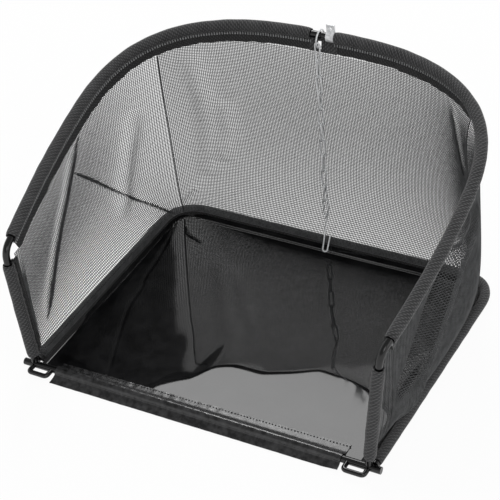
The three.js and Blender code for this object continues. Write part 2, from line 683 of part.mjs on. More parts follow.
const bag = new THREE.Group();
function add(name, geometry, material) {
  const mesh = new THREE.Mesh(geometry, material);
  mesh.name = name;
  bag.add(mesh);
}
const seamGap = GAP / rimLength;
add("rim_rod", rimRod(), blackPaint);
add("floor_frame_rod", floorFrameRod(), blackPaint);
add("front_rod", frontRod(), blackPaint);
add("left_mounting_eye", mountingEye(-1), blackPaint);
add("right_mounting_eye", mountingEye(1), blackPaint);
add("rim_sleeve", rimSleeve(), blackFabric);
add("left_leg_sleeve", legSleeve(-1), blackFabric);
add("right_leg_sleeve", legSleeve(1), blackFabric);
add("floor_edge_sleeve", floorSleeve(), blackFabric);
add("floor_binding", floorBinding(), blackFabric);
add("left_mesh_panel", wallPanel(0, SEAM_SHARE - seamGap, SIDE_COLUMNS), greyMesh);
add("rear_mesh_panel", wallPanel(SEAM_SHARE + seamGap, 1 - SEAM_SHARE - seamGap, REAR_COLUMNS), greyMesh);
add("right_mesh_panel", wallPanel(1 - SEAM_SHARE + seamGap, 1, SIDE_COLUMNS), greyMesh);
add("floor_sheet", floorSheet(), blackPlastic);
add("front_lip", frontLip(), blackPlastic);
add("chain_clip", chainClip(), zinc);
add("chain_ring", chainRing(), zinc);
for (let i = 0; i < CHAIN_LINKS; i++)
  add(`chain_link_${String(i + 1).padStart(2, "0")}`, chainLink(i), zinc);
add("chain_hook", chainHook(), zinc);

// The origin lies on the ground, under the middle of the bag.
const extent = new THREE.Box3().setFromObject(bag);
bag.position.y = -(extent.min.y + extent.max.y) / 2;
bag.position.z = -extent.min.z;

export default bag;
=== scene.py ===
"""Looks of a hand mower's grass collection bag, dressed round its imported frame.

Lengths are written in millimetres, as a sewing shop would, and turned to metres when a mesh is made.
"""

import logging
import math
from dataclasses import dataclass, field
from enum import Enum
from functools import cache, cached_property

import bmesh
import bpy
import numpy as np
from bpy.types import Material, Node, NodeOutputs, NodeSocket, NodeTree, Object
from mathutils import Matrix, Vector


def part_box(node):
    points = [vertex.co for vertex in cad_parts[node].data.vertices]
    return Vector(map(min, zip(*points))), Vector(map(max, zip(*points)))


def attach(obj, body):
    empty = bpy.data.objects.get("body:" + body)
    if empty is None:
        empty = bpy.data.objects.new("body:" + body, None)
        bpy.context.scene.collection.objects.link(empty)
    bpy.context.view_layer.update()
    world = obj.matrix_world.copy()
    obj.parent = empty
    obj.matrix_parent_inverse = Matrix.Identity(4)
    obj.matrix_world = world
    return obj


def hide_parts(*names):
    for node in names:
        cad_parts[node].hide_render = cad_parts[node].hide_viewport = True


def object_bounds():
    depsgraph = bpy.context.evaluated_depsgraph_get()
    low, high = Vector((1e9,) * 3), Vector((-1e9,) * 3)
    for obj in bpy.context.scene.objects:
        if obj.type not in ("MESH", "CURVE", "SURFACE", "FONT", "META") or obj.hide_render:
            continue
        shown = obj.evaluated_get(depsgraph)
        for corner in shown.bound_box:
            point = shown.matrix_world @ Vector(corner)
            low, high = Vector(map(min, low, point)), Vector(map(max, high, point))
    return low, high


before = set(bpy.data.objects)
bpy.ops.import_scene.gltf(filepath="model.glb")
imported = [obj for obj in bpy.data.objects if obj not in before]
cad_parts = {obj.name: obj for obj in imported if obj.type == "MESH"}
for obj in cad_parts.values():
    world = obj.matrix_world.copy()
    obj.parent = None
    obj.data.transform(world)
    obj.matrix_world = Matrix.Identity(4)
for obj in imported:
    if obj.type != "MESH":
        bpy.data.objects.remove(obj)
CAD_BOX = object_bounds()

LOG = logging.getLogger("grass_bag")
MM = 0.001


class Wall(Enum):
    """The three net walls of the bag."""

    LEFT = "left_mesh_panel"
    REAR = "rear_mesh_panel"
    RIGHT = "right_mesh_panel"

    @property
    def outward(self) -> np.ndarray:
        """The way out of the bag through this wall."""
        return np.array({"LEFT": (-1, 0, 0), "REAR": (0, 1, 0), "RIGHT": (1, 0, 0)}[self.name], float)

    def flat(self, points: np.ndarray) -> np.ndarray:
        """Points of this wall as (distance back or across, height) pairs."""
        return points[..., [0 if self is Wall.REAR else 1, 2]]


def linear(hex_colour: str) -> tuple[float, float, float, float]:
    """Turns an sRGB hex colour into the linear colour that shaders take.

    Args:
        hex_colour: Six hex digits after a hash.

    Returns:
        Linear red, green, blue and an alpha of 1.
    """
    parts = [int(hex_colour[i : i + 2], 16) / 255 for i in (1, 3, 5)]
    red, green, blue = (c / 12.92 if c <= 0.04045 else ((c + 0.055) / 1.055) ** 2.4 for c in parts)
    return red, green, blue, 1.0


def connect(tree: NodeTree, node: Node, inputs: dict) -> None:
    """Feeds a node's sockets, by name or number, with other sockets or plain values."""
    for key, value in inputs.items():
        if isinstance(value, NodeSocket):
            tree.links.new(value, node.inputs[key])
        else:
            node.inputs[key].default_value = value


def add_node(tree: NodeTree, kind: str, settings: dict | None = None, inputs: dict | None = None) -> Node:
    """Adds one node with its settings and links.

    Args:
        tree: Tree that the node joins.
        kind: Blender's name of the node's type.
        settings: Properties of the node.
        inputs: Values of its sockets by name or number, or sockets that feed them.

    Returns:
        The node.
    """
    node = tree.nodes.new(kind)
    for name, value in (settings or {}).items():
        setattr(node, name, value)
    connect(tree, node, inputs or {})
    return node


def maths(tree: NodeTree, operation: str, *values: NodeSocket | float) -> NodeSocket:
    """One step of arithmetic."""
    return add_node(tree, "ShaderNodeMath", {"operation": operation}, dict(enumerate(values))).outputs[0]


def place(name: str, data: bpy.types.ID) -> Object:
    """Adds an object to the scene at the origin."""
    made = bpy.data.objects.new(name, data)
    bpy.context.scene.collection.objects.link(made)
    return made


def unit(vectors: np.ndarray) -> np.ndarray:
    """Vectors brought to length 1."""
    return vectors / np.maximum(np.linalg.norm(vectors, axis=-1, keepdims=True), 1e-9)


def square_to(vectors: np.ndarray, axis: np.ndarray) -> np.ndarray:
    """Vectors turned square to an axis, at length 1."""
    return unit(vectors - (vectors * axis).sum(-1, keepdims=True) * axis)


def loft(route: np.ndarray, aside: np.ndarray, up: np.ndarray, section: list) -> np.ndarray:
    """Carries a section along a route.

    Args:
        route: Points of the route.
        aside: The section's first direction at each point.
        up: Its second direction.
        section: Pairs of offsets along both, plain or one for each point.

    Returns:
        One row of points for each point of the route, one column for each pair.
    """
    rows = [route + aside * np.reshape(a, (-1, 1)) + up * np.reshape(b, (-1, 1)) for a, b in section]
    return np.stack(rows, axis=1)


def ripple(run: np.ndarray, seed: int, *waves: float) -> np.ndarray:
    """An uneven wave of about plus or minus 1 along a seam.

    Args:
        run: Distances along the seam.
        seed: Which unevenness.
        waves: Wavelengths that it mixes.

    Returns:
        The wave's height at each distance.
    """
    draw = np.random.default_rng(seed)
    total = np.zeros_like(run, dtype=float)
    for wave in waves:
        for share in (0.77, 1.0, 1.31):
            total += draw.uniform(0.6, 1.0) * np.sin(2 * math.pi * (run / (wave * share) + draw.uniform()))
    return total / (1.6 * len(waves))


class Path:
    """A line through close points, read by its share of length."""

    def __init__(self, points: np.ndarray) -> None:
        """Measures the line through the given points."""
        self.points = np.asarray(points, float)
        steps = np.linalg.norm(np.diff(self.points, axis=0), axis=1)
        self.run = np.concatenate([[0.0], np.cumsum(steps)])
        self.length = float(self.run[-1])

    def at(self, share: np.ndarray) -> np.ndarray:
        """Points at shares of the length."""
        where = np.asarray(share, float) * self.length
        axes = [np.interp(where, self.run, axis) for axis in self.points.T]
        return np.stack(axes, axis=-1)

    def heading(self, share: np.ndarray, reach: float = 2.0) -> np.ndarray:
        """Directions of the line at shares of its length."""
        step = reach / self.length
        return unit(self.at(np.clip(share + step, 0, 1)) - self.at(np.clip(share - step, 0, 1)))

    def spaced(self, step: float) -> np.ndarray:
        """Points a given distance apart."""
        return self.at(np.linspace(0, 1, max(2, round(self.length / step) + 1)))


def bend(start: np.ndarray, corner: np.ndarray, end: np.ndarray, steps: int = 16) -> np.ndarray:
    """Points of a round corner from one leg to the other."""
    s = np.linspace(0, 1, steps + 1)[:, None]
    return (1 - s) ** 2 * start + 2 * s * (1 - s) * corner + s**2 * end


@dataclass(frozen=True)
class BagPlan:
    """Sizes that the pieces share. The front rod's axis is at y = 0, the ground at z = 0."""

    rod: float = 6.0
    sleeve: float = 10.0
    hem: float = 1.6
    gap: float = 0.35
    floor_front: float = 306.0
    floor_rear: float = 314.0
    floor_depth: float = 247.0
    floor_corner: float = 34.0
    foot_half: float = 150.0
    knee_half: float = 161.0
    knee_back: float = 2.0
    knee_height: float = 115.0
    knee_bend: float = 9.0
    rim_half: float = 173.0
    rim_back: float = 254.5
    rim_height: float = 209.0
    rim_leg: float = 135.0
    rim_squareness: float = 2.7
    seam_from_centre: float = 155.0
    rim_hem: float = 10.0
    floor_hem: float = 7.0
    binding_inset: float = 6.5
    binding_height: float = 5.0
    wall_start: float = 14.0
    front_strip: float = 0.008
    leg_hem_from: float = 5.5
    wall_clear: float = 0.9
    wall_belly: int = 6
    rear_bulge: float = 11.0
    side_bulge: float = 4.0
    bulge_height: float = 1 / 3
    seam_at: float = 0.3
    seam_blend: float = 0.05

    @cached_property
    def shift(self) -> np.ndarray:
        """From this plan's zero to the frame's, read off the front rod's box."""
        low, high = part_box("front_rod")
        middle = (low + high) / (2 * MM)
        return np.array([0.0, middle.y, middle.z - self.sleeve / 2])

    def seat(self, points: np.ndarray) -> np.ndarray:
        """Points of the plan as metres in the frame."""
        return (np.asarray(points, float) + self.shift) * MM

    @property
    def rod_height(self) -> float:
        """Height of the floor rods' axes."""
        return self.sleeve / 2

    @property
    def foot_height(self) -> float:
        """Height of the walls' lower edge."""
        return self.rod_height + self.hem / 2 + self.gap + self.binding_height + self.wall_clear

    def floor_outline(self, inset: float, start: float) -> tuple[Path, float]:
        """The floor rod's outline moved inwards.

        Args:
            inset: How far inwards.
            start: Distance of both ends behind the front rod.

        Returns:
            The outline from left front to right front, and the share of its length at which
            the middle of its first corner lies.
        """
        front, rear = self.floor_front / 2 - inset, self.floor_rear / 2 - inset
        back, rounding = self.floor_depth - inset, self.floor_corner - inset

        def half(y: float) -> float:
            return front + (rear - front) * y / self.floor_depth

        turn_y = back - rounding * self.floor_depth / math.hypot(rear - front, self.floor_depth)
        turn = np.array([-half(turn_y), turn_y])
        corner = bend(turn, np.array([-half(back), back]), np.array([rounding - half(back), back]))
        left = np.vstack([[-half(start), start], corner])
        outline = Path(np.vstack([left, left[::-1] * [-1, 1]]))
        first = float(np.linalg.norm(turn - left[0]))
        return outline, (first + Path(corner).length / 2) / outline.length

    @cached_property
    def rim(self) -> Path:
        """The rim's centre line from the left knee over the rear bar to the right knee."""
        slope = np.array([0.0, self.rim_back - self.knee_back, self.rim_height - self.knee_height])
        run = float(np.linalg.norm(slope))
        share = np.linspace(0, 1, 1201)
        angle = np.clip(share - 0.5, 0, 0.5) * math.pi
        power = 2 / self.rim_squareness
        leg_half = self.knee_half + (self.rim_half - self.knee_half) * np.sin(math.pi * share)
        half = np.where(share < 0.5, leg_half, self.rim_half * np.abs(np.cos(angle)) ** power)
        arch = self.rim_leg + (run - self.rim_leg) * np.sin(angle) ** power
        along = np.where(share < 0.5, self.rim_leg * 2 * share, arch)
        half[-1] = 0.0
        left = np.outer(along, slope / run) + [0, self.knee_back, self.knee_height]
        left[:, 0] = -half
        return Path(np.vstack([left, left[-2::-1] * [-1, 1, 1]]))

    def spread(self, w: np.ndarray, start: float, seam: float) -> np.ndarray:
        """Shares of an outline for places on the wall's way round."""
        left = np.minimum(w, 1 - w)
        side = start + (seam - start) * left / self.seam_at
        rear = seam + (0.5 - seam) * (left - self.seam_at) / (0.5 - self.seam_at)
        share = np.where(left < self.seam_at, side, rear)
        return np.where(w < 0.5, share, 1 - share)

    @cached_property
    def foot_line(self) -> tuple[Path, float]:
        """The walls' lower edge seen from above, with its corner's share."""
        return self.floor_outline(self.binding_inset, self.wall_start)

    def wall_foot(self, w: np.ndarray) -> np.ndarray:
        """Points of the walls' lower edge."""
        outline, corner = self.foot_line
        flat = outline.at(self.spread(w, 0.0, corner))
        return np.concatenate([flat, np.full(flat.shape[:-1] + (1,), self.foot_height)], axis=-1)

    def rim_share(self, w: np.ndarray) -> np.ndarray:
        """Shares of the rim's length above places on the wall's way round."""
        length = self.rim.length
        return self.spread(w, self.wall_start / length, 0.5 - self.seam_from_centre / length)

    def hem_down(self, w: np.ndarray) -> np.ndarray:
        """The way in which hem and wall leave the rim."""
        share = self.rim_share(w)
        return square_to(self.wall_foot(w) - self.rim.at(share), self.rim.heading(share))

    def hem_end(self, w: np.ndarray) -> np.ndarray:
        """Points of the walls' upper edge."""
        reach = self.sleeve / 2 + self.rim_hem + self.wall_clear
        return self.rim.at(self.rim_share(w)) + self.hem_down(w) * reach

    def wall(self, w: np.ndarray, t: np.ndarray) -> np.ndarray:
        """Points of the smooth wall: w round the bag, t from the foot up to the hem.

        A little before 0 and after 1, w runs on to the hems of the front legs.
        """
        beyond = np.maximum(np.abs(w - 0.5) - 0.5, 0) / self.front_strip
        w = np.clip(w, 0, 1)
        foot, top = self.wall_foot(w), self.hem_end(w)
        rise = np.maximum(t, 0)
        ease = (1 - (1 - rise) ** self.wall_belly)[..., None]
        point = foot + (top - foot) * ease
        point[..., 2] = foot[..., 2] + (top[..., 2] - foot[..., 2]) * t
        peak = self.bulge_height
        swell = (rise / peak) * ((1 - rise) / (1 - peak)) ** 2
        left = np.minimum(w, 1 - w)
        blend = np.clip((left - self.seam_at + self.seam_blend) / (2 * self.seam_blend), 0, 1)
        point[..., 1] += self.rear_bulge * swell * blend * blend * (3 - 2 * blend)
        along = np.clip(left / self.seam_at, 0, 1)
        side = np.where(w < 0.5, -1, 1)
        point[..., 0] += side * self.side_bulge * swell * np.sin(math.pi * along)
        up = np.clip((point[..., 2] - self.rod_height) / (self.knee_height - self.rod_height), 0, 1)
        leg_x = side * (self.foot_half + (self.knee_half - self.foot_half) * up)
        leg_y = self.knee_back * up + self.sleeve / 2 + self.leg_hem_from
        leg = np.stack([leg_x, leg_y, point[..., 2]], axis=-1)
        return point + (leg - point) * beyond[..., None]


PLAN = BagPlan()


@dataclass(frozen=True)
class Finish:
    """What one real material looks like. A child class adds its own pattern."""

    name: str
    colour: str
    roughness: float
    metallic: float = 0.0
    ior: float = 1.5

    def pattern(self, tree: NodeTree) -> dict[str, NodeSocket | float]:
        """The surface's pattern, as what feeds each of the shader's inputs."""
        return {}

    @cache
    def make(self) -> Material:
        """Builds the material, once.

        Returns:
            The material with its nodes.
        """
        material = bpy.data.materials.new(self.name)
        material.use_nodes = True
        tree = material.node_tree
        shader = tree.nodes["Principled BSDF"]
        plain = {"Base Color": linear(self.colour), "Roughness": self.roughness}
        connect(tree, shader, {**plain, "Metallic": self.metallic, "IOR": self.ior})
        connect(tree, shader, self.pattern(tree))
        return material


def noise(tree: NodeTree, grain: float, detail: float = 3.0) -> NodeSocket:
    """A noise all over the object, whose grain is given in millimetres."""
    spot = add_node(tree, "ShaderNodeTexCoord").outputs["Object"]
    values = {"Vector": spot, "Scale": 1 / (grain * MM), "Detail": detail}
    return add_node(tree, "ShaderNodeTexNoise", inputs=values).outputs["Fac"]


def ramp(tree: NodeTree, factor: NodeSocket, *stops: tuple[float, str]) -> NodeSocket:
    """A colour between two stops, each a place and a hex colour."""
    node = add_node(tree, "ShaderNodeValToRGB", inputs={"Fac": factor})
    for element, (spot, colour) in zip(node.color_ramp.elements, stops):
        element.position, element.color = spot, linear(colour)
    return node.outputs["Color"]


def span(
    tree: NodeTree, value: NodeSocket, low: float, high: float, start: float = 0.0, end: float = 1.0
) -> NodeSocket:
    """A value that runs from low to high while the given one runs from start to end."""
    limits = {"From Min": start, "From Max": end, "To Min": low, "To Max": high}
    return add_node(tree, "ShaderNodeMapRange", inputs={"Value": value, **limits}).outputs["Result"]


def bump(
    tree: NodeTree, height: NodeSocket, strength: float, depth: float, **under: NodeSocket
) -> NodeSocket:
    """A relief whose depth is given in millimetres, on top of another one's Normal if given."""
    values = {"Height": height, "Strength": strength, "Distance": depth * MM, **under}
    return add_node(tree, "ShaderNodeBump", inputs=values).outputs["Normal"]


@dataclass(frozen=True)
class Enamel(Finish):
    """Black stoving enamel dipped on drawn steel rod: wet-looking, with a faint orange peel."""

    peel: float = 1.6
    peel_depth: float = 0.1

    def pattern(self, tree: NodeTree) -> dict[str, NodeSocket | float]:
        """The orange peel, and a little dust in the gloss."""
        dust = noise(tree, 5 * self.peel)
        return {
            "Normal": bump(tree, noise(tree, self.peel), 0.12, self.peel_depth),
            "Roughness": span(tree, dust, self.roughness - 0.05, self.roughness + 0.12),
        }


@dataclass(frozen=True)
class WovenCloth(Finish):
    """Black woven polyester: matt, with a grain of crossing yarns, a slight sheen, and painted shade on the
    hem.

    The real yarns lie about 0.6 mm apart; they are drawn at the pitch given here so that they show.
    """

    pitch: float = 1.7
    relief: float = 0.35
    waver: float = 9.0
    light: str = "#565657"
    tube: float = 27.5
    # Share of the colour kept past the tube's girth: painted shade on the hem, which is the same cloth as
    # the tube.
    hem_painted_shade: float = 0.4

    def pattern(self, tree: NodeTree) -> dict[str, NodeSocket | float]:
        """The crossing yarns as colour and relief, painted shade that darkens the cloth past the tube's
        girth, and the sheen.
        """
        flat = add_node(tree, "ShaderNodeUVMap", {"uv_map": "Cloth"}).outputs["UV"]
        wave = {"Vector": flat, "Scale": math.pi / (10 * self.pitch * MM), "Distortion": 1.2}
        wave.update({"Detail": 1.0, "Detail Scale": 0.6})
        warp, weft = (
            add_node(tree, "ShaderNodeTexWave", {"bands_direction": way}, wave) for way in ("DIAGONAL", "X")
        )
        cross = maths(tree, "MULTIPLY", warp.outputs["Fac"], weft.outputs["Fac"])
        yarns = maths(tree, "MULTIPLY_ADD", noise(tree, self.waver), 0.5, cross)
        tone = ramp(tree, yarns, (0.15, self.colour), (1.0, self.light))
        around = add_node(tree, "ShaderNodeSeparateXYZ", inputs={0: flat}).outputs["Y"]
        # Painted shade: past the tube's girth the colour is dimmed to stand in for the shade on the hem and
        # the binding tape.
        hem = span(tree, around, 1.0, self.hem_painted_shade, self.tube * MM, (self.tube + 1.5) * MM)
        dimmed = {"Vector": tone, "Scale": hem}
        shaded = add_node(tree, "ShaderNodeVectorMath", {"operation": "SCALE"}, dimmed)
        return {
            "Base Color": shaded.outputs[0],
            "Normal": bump(tree, yarns, 0.55, self.relief),
            "Sheen Weight": 0.25,
            "Sheen Roughness": 0.4,
        }


@dataclass(frozen=True)
class NetYarn(Finish):
    """Dark grey coated polyester yarn of the see-through net: smooth, half matt, uneven in tone."""

    light: str = "#5a5b5c"
    drift: float = 6.0

    def pattern(self, tree: NodeTree) -> dict[str, NodeSocket | float]:
        """Tone that drifts from yarn to yarn."""
        drift = noise(tree, self.drift, 4.0)
        return {"Base Color": ramp(tree, drift, (0.3, self.colour), (0.7, self.light))}


@dataclass(frozen=True)
class SoftSheet(Finish):
    """Calendered soft vinyl sheet: near black and mirror-like, with a fine grain and faint waves."""

    grain: float = 0.9
    grain_depth: float = 0.06
    wave: float = 26.0
    wave_depth: float = 0.02
    dust: str = "#1b1b1c"

    def pattern(self, tree: NodeTree) -> dict[str, NodeSocket | float]:
        """The grain on the waves, faint dust, and dull patches in the gloss."""
        dull = noise(tree, self.wave, 2.0)
        waves = bump(tree, dull, 1.0, self.wave_depth)
        cloud = noise(tree, self.wave / 2, 8.0)
        return {
            "Base Color": ramp(tree, cloud, (0.35, self.colour), (0.68, self.dust)),
            "Normal": bump(tree, noise(tree, self.grain, 2.0), 0.04, self.grain_depth, Normal=waves),
            "Roughness": span(tree, dull, self.roughness, self.roughness + 0.02),
        }


@dataclass(frozen=True)
class ZincPlate(Finish):
    """Bright zinc plating on bent steel wire: silvery, with dull and bright patches."""

    dull: str = "#d2d4d6"
    patch: float = 2.5

    def pattern(self, tree: NodeTree) -> dict[str, NodeSocket | float]:
        """The patches."""
        patch = noise(tree, self.patch)
        return {
            "Base Color": ramp(tree, patch, (0.35, self.dull), (0.6, self.colour)),
            "Roughness": span(tree, patch, self.roughness + 0.15, self.roughness),
        }


ENAMEL = Enamel("black_stoving_enamel", "#0b0b0c", 0.1)
CLOTH = WovenCloth("black_woven_polyester", "#1c1c1d", 0.82)
NET = NetYarn("dark_grey_net_yarn", "#3d3e3f", 0.6)
VINYL = SoftSheet("black_soft_vinyl", "#0a0a0b", 0.03, ior=1.42)
CREASED_VINYL = SoftSheet(
    "black_creased_vinyl", "#111112", 0.2, grain=1.3, wave=9.0, wave_depth=0.25, dust="#3a3a3b"
)
ZINC = ZincPlate("bright_zinc_plate", "#f4f5f6", 0.33, metallic=0.2)
SEAM_THREAD = Finish("grey_sewing_thread", "#9a9b9c", 0.7)
DARK_THREAD = Finish("black_sewing_thread", "#18181a", 0.6)


class Skin:
    """A mesh under construction: grids and caps with cloth coordinates in metres."""

    def __init__(self) -> None:
        """Starts with nothing."""
        self.points: list[np.ndarray] = []
        self.faces: list[list[int]] = []
        self.cloth: list[list[tuple[float, float]]] = []
        self.count = 0

    def grid(self, points: np.ndarray, u: np.ndarray, v: np.ndarray, wrap: bool = False) -> int:
        """Adds a grid of quads.

        Args:
            points: Rows by columns by 3, in the plan's millimetres.
            u: Cloth coordinate of each row.
            v: Cloth coordinate of each column, and of the first again where it wraps.
            wrap: Whether the last column meets the first.

        Returns:
            Number of the grid's first vertex.
        """
        rows, columns = points.shape[:2]
        first = self.count
        self.points.append(points.reshape(-1, 3))
        self.count += rows * columns
        for i in range(rows - 1):
            for j in range(columns if wrap else columns - 1):
                k = (j + 1) % columns
                a, b = first + i * columns, first + (i + 1) * columns
                self.faces.append([a + j, a + k, b + k, b + j])
                low, high = v[j] * MM, v[j + 1] * MM
                near, far = u[i] * MM, u[i + 1] * MM
                self.cloth.append([(near, low), (near, high), (far, high), (far, low)])
        return first

    def cap(self, ring: list[int]) -> None:
        """Closes a ring of vertices."""
        self.faces.append(ring)
        self.cloth.append([(0.0, 0.0)] * len(ring))

    def tube(self, points: np.ndarray, u: np.ndarray, v: np.ndarray) -> None:
        """Adds a grid whose columns go round, closed at both ends."""
        rows, columns = points.shape[:2]
        first = self.grid(points, u, v, wrap=True)
        for row in (0, rows - 1):
            self.cap([first + row * columns + j for j in range(columns)])

    def slab(self, points: np.ndarray, thickness: float, u: np.ndarray, v: np.ndarray) -> None:
        """Adds a sheet of given thickness on both sides of a grid of points."""
        along, across = np.gradient(points, axis=0), np.gradient(points, axis=1)
        normal = unit(np.cross(along, across))
        rows, columns = points.shape[:2]
        top = self.grid(points + normal * thickness / 2, u, v)
        low = self.grid(points - normal * thickness / 2, u, v)
        border = list(range(columns))
        border += [i * columns + columns - 1 for i in range(1, rows)]
        border += [(rows - 1) * columns + j for j in range(columns - 2, -1, -1)]
        border += [i * columns for i in range(rows - 2, 0, -1)]
        for a, b in zip(border, border[1:] + border[:1]):
            self.cap([top + a, top + b, low + b, low + a])

    def make(self, name: str, finish: Finish, sharp: float = 40.0) -> Object:
        """Makes the object.

        Args:
            name: Its name.
            finish: Its material.
            sharp: Angle in degrees from which an edge stays sharp.

        Returns:
            The finished object, its faces pointing outwards.
        """
        mesh = bpy.data.meshes.new(name)
        mesh.from_pydata(PLAN.seat(np.vstack(self.points)).tolist(), [], self.faces)
        layer = mesh.uv_layers.new(name="Cloth")
        layer.data.foreach_set("uv", [c for face in self.cloth for corner in face for c in corner])
        work = bmesh.new()
        work.from_mesh(mesh)
        bmesh.ops.recalc_face_normals(work, faces=work.faces)
        work.to_mesh(mesh)
        work.free()
        mesh.shade_smooth()
        mesh.set_sharp_from_angle(angle=math.radians(sharp))
        mesh.materials.append(finish.make())
        return place(name, mesh)


def new_tree(name: str, sizes: dict[str, tuple[str, float | None]]) -> tuple[NodeTree, NodeOutputs]:
    """Starts a geometry node group with named inputs.

    Args:
        name: The group's name.
        sizes: Name of each extra input with its socket type and value.

    Returns:
        The group and the sockets that its inputs come from.
    """
    tree = bpy.data.node_groups.new(name, "GeometryNodeTree")
    tree.interface.new_socket("Geometry", in_out="INPUT", socket_type="NodeSocketGeometry")
    for label, (kind, value) in sizes.items():
        socket = tree.interface.new_socket(label, in_out="INPUT", socket_type=kind)
        if value is not None:
            socket.default_value = value
    tree.interface.new_socket("Material", in_out="INPUT", socket_type="NodeSocketMaterial")
    tree.interface.new_socket("Geometry", in_out="OUTPUT", socket_type="NodeSocketGeometry")
    return tree, tree.nodes.new("NodeGroupInput").outputs


def close_tree(tree: NodeTree, given: NodeOutputs, shape: NodeSocket) -> NodeTree:
    """Ends a group with smooth shading, real geometry and the material."""
    smooth = add_node(tree, "GeometryNodeSetShadeSmooth", inputs={0: shape})
    real = add_node(tree, "GeometryNodeRealizeInstances", inputs={0: smooth.outputs[0]})
    coat = {"Geometry": real.outputs[0], "Material": given["Material"]}
    dressed = add_node(tree, "GeometryNodeSetMaterial", inputs=coat)
    add_node(tree, "NodeGroupOutput", inputs={0: dressed.outputs[0]})
    return tree


@cache
def sweep_tree() -> NodeTree:
    """Geometry nodes that turn lines into round rods, wires or yarns."""
    sizes = {"Radius": ("NodeSocketFloat", 0.003), "Sides": ("NodeSocketInt", 16)}
    tree, given = new_tree("round_sweep", sizes)
    line = add_node(tree, "GeometryNodeMeshToCurve", inputs={"Mesh": given["Geometry"]})
    girth = add_node(tree, "GeometryNodeInputNamedAttribute", {"data_type": "FLOAT"}, {"Name": "girth"})
    size = {"Radius": given["Radius"], "Resolution": given["Sides"]}
    ring = add_node(tree, "GeometryNodeCurvePrimitiveCircle", inputs=size)
    swept = {"Curve": line.outputs[0], "Profile Curve": ring.outputs[0], "Scale": girth.outputs["Attribute"]}
    tube = add_node(tree, "GeometryNodeCurveToMesh", inputs={**swept, "Fill Caps": True})
    return close_tree(tree, given, tube.outputs[0])


@cache
def stitch_tree() -> NodeTree:
    """Geometry nodes that lay short uneven stitches along lines."""
    sizes = {
        "Pitch": ("NodeSocketFloat", 0.0035), "Stitch": ("NodeSocketFloat", 0.0026),
        "Thread": ("NodeSocketFloat", 0.0004), "Seed": ("NodeSocketInt", 1),
    }
    tree, given = new_tree("stitch_run", sizes)
    line = add_node(tree, "GeometryNodeMeshToCurve", inputs={"Mesh": given["Geometry"]})
    steps = {"Curve": line.outputs[0], "Length": given["Pitch"]}
    places = add_node(tree, "GeometryNodeCurveToPoints", {"mode": "LENGTH"}, steps).outputs
    bead = add_node(tree, "GeometryNodeMeshUVSphere", inputs={"Segments": 6, "Rings": 4, "Radius": 1.0})
    half = maths(tree, "MULTIPLY", given["Stitch"], 0.5)
    thread = given["Thread"]
    shape = add_node(tree, "ShaderNodeCombineXYZ", inputs={"X": thread, "Y": thread, "Z": half})
    limits = {0: (0.8, 0.8, 0.7), 1: (1.15, 1.15, 1.1), "Seed": given["Seed"]}
    uneven = add_node(tree, "FunctionNodeRandomValue", {"data_type": "FLOAT_VECTOR"}, limits)
    sized = {0: shape.outputs[0], 1: uneven.outputs[0]}
    size = add_node(tree, "ShaderNodeVectorMath", {"operation": "MULTIPLY"}, sized)
    laid = {"Points": places["Points"], "Instance": bead.outputs["Mesh"], "Rotation": places["Rotation"]}
    run = add_node(tree, "GeometryNodeInstanceOnPoints", inputs={**laid, "Scale": size.outputs[0]})
    return close_tree(tree, given, run.outputs[0])


@cache
def chain_tree() -> NodeTree:
    """Geometry nodes that hang a link on each point, every second one turned a quarter."""
    sizes = {"Link": ("NodeSocketObject", None), "Turn": ("NodeSocketFloat", math.pi / 2)}
    tree, given = new_tree("link_run", sizes)
    link = add_node(tree, "GeometryNodeObjectInfo", inputs={"Object": given["Link"]})
    number = add_node(tree, "GeometryNodeInputIndex").outputs[0]
    turn = maths(tree, "MULTIPLY", maths(tree, "MODULO", number, 2.0), given["Turn"])
    angles = add_node(tree, "ShaderNodeCombineXYZ", inputs={"Z": turn})
    rotation = add_node(tree, "FunctionNodeEulerToRotation", inputs={"Euler": angles.outputs[0]})
    points = add_node(tree, "GeometryNodeMeshToPoints", inputs={"Mesh": given["Geometry"]})
    hung = {"Points": points.outputs[0], "Instance": link.outputs["Geometry"]}
    turned = {**hung, "Rotation": rotation.outputs[0]}
    run = add_node(tree, "GeometryNodeInstanceOnPoints", inputs=turned)
    return close_tree(tree, given, run.outputs[0])


def grow(name: str, lines: list[np.ndarray], tree: NodeTree, values: dict, finish: Finish,
         closed: bool = False, girths: list[float] | None = None) -> Object:
    """Runs a geometry node group over lines and keeps the result as a plain mesh.

    Args:
        name: Name of the piece.
        lines: Arrays of points in the plan's millimetres, one for each line.
        tree: The node group.
        values: Its inputs by name.
        finish: The piece's material.
        closed: Whether each line ends where it starts.
        girths: Thickness of each line as a share of the full one, where they differ.

    Returns:
        The finished object.
    """
    points = np.vstack(lines)
    edges, first = [], 0
    for line in lines:
        last = first + len(line) - 1
        edges += [(k, k + 1) for k in range(first, last)]
        if closed:
            edges.append((last, first))
        first = last + 1
    base = bpy.data.meshes.new(name + "_lines")
    base.from_pydata(PLAN.seat(points).tolist(), edges, [])
    shares = np.repeat(girths or [1.0] * len(lines), [len(line) for line in lines])
    base.attributes.new("girth", "FLOAT", "POINT").data.foreach_set("value", shares)
    holder = place(name + "_lines", base)
    modifier = holder.modifiers.new("grow", "NODES")
    modifier.node_group = tree
    sockets = {s.name: s.identifier for s in tree.interface.items_tree if s.in_out == "INPUT"}
    for label, value in {**values, "Material": finish.make()}.items():
        modifier[sockets[label]] = value
    bpy.context.view_layer.update()
    mesh = bpy.data.meshes.new_from_object(holder.evaluated_get(bpy.context.evaluated_depsgraph_get()))
    bpy.data.objects.remove(holder)
    mesh.name = name
    return place(name, mesh)


def settle(piece: Object, slot: str, *nodes: str, body: str = "frame") -> Object:
    """Rides a finished piece on its body and hides the nodes that it stands for."""
    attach(piece, body)
    if nodes:
        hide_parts(*nodes)
    LOG.info("%s: %d faces", piece.name, len(piece.data.polygons))
    return piece


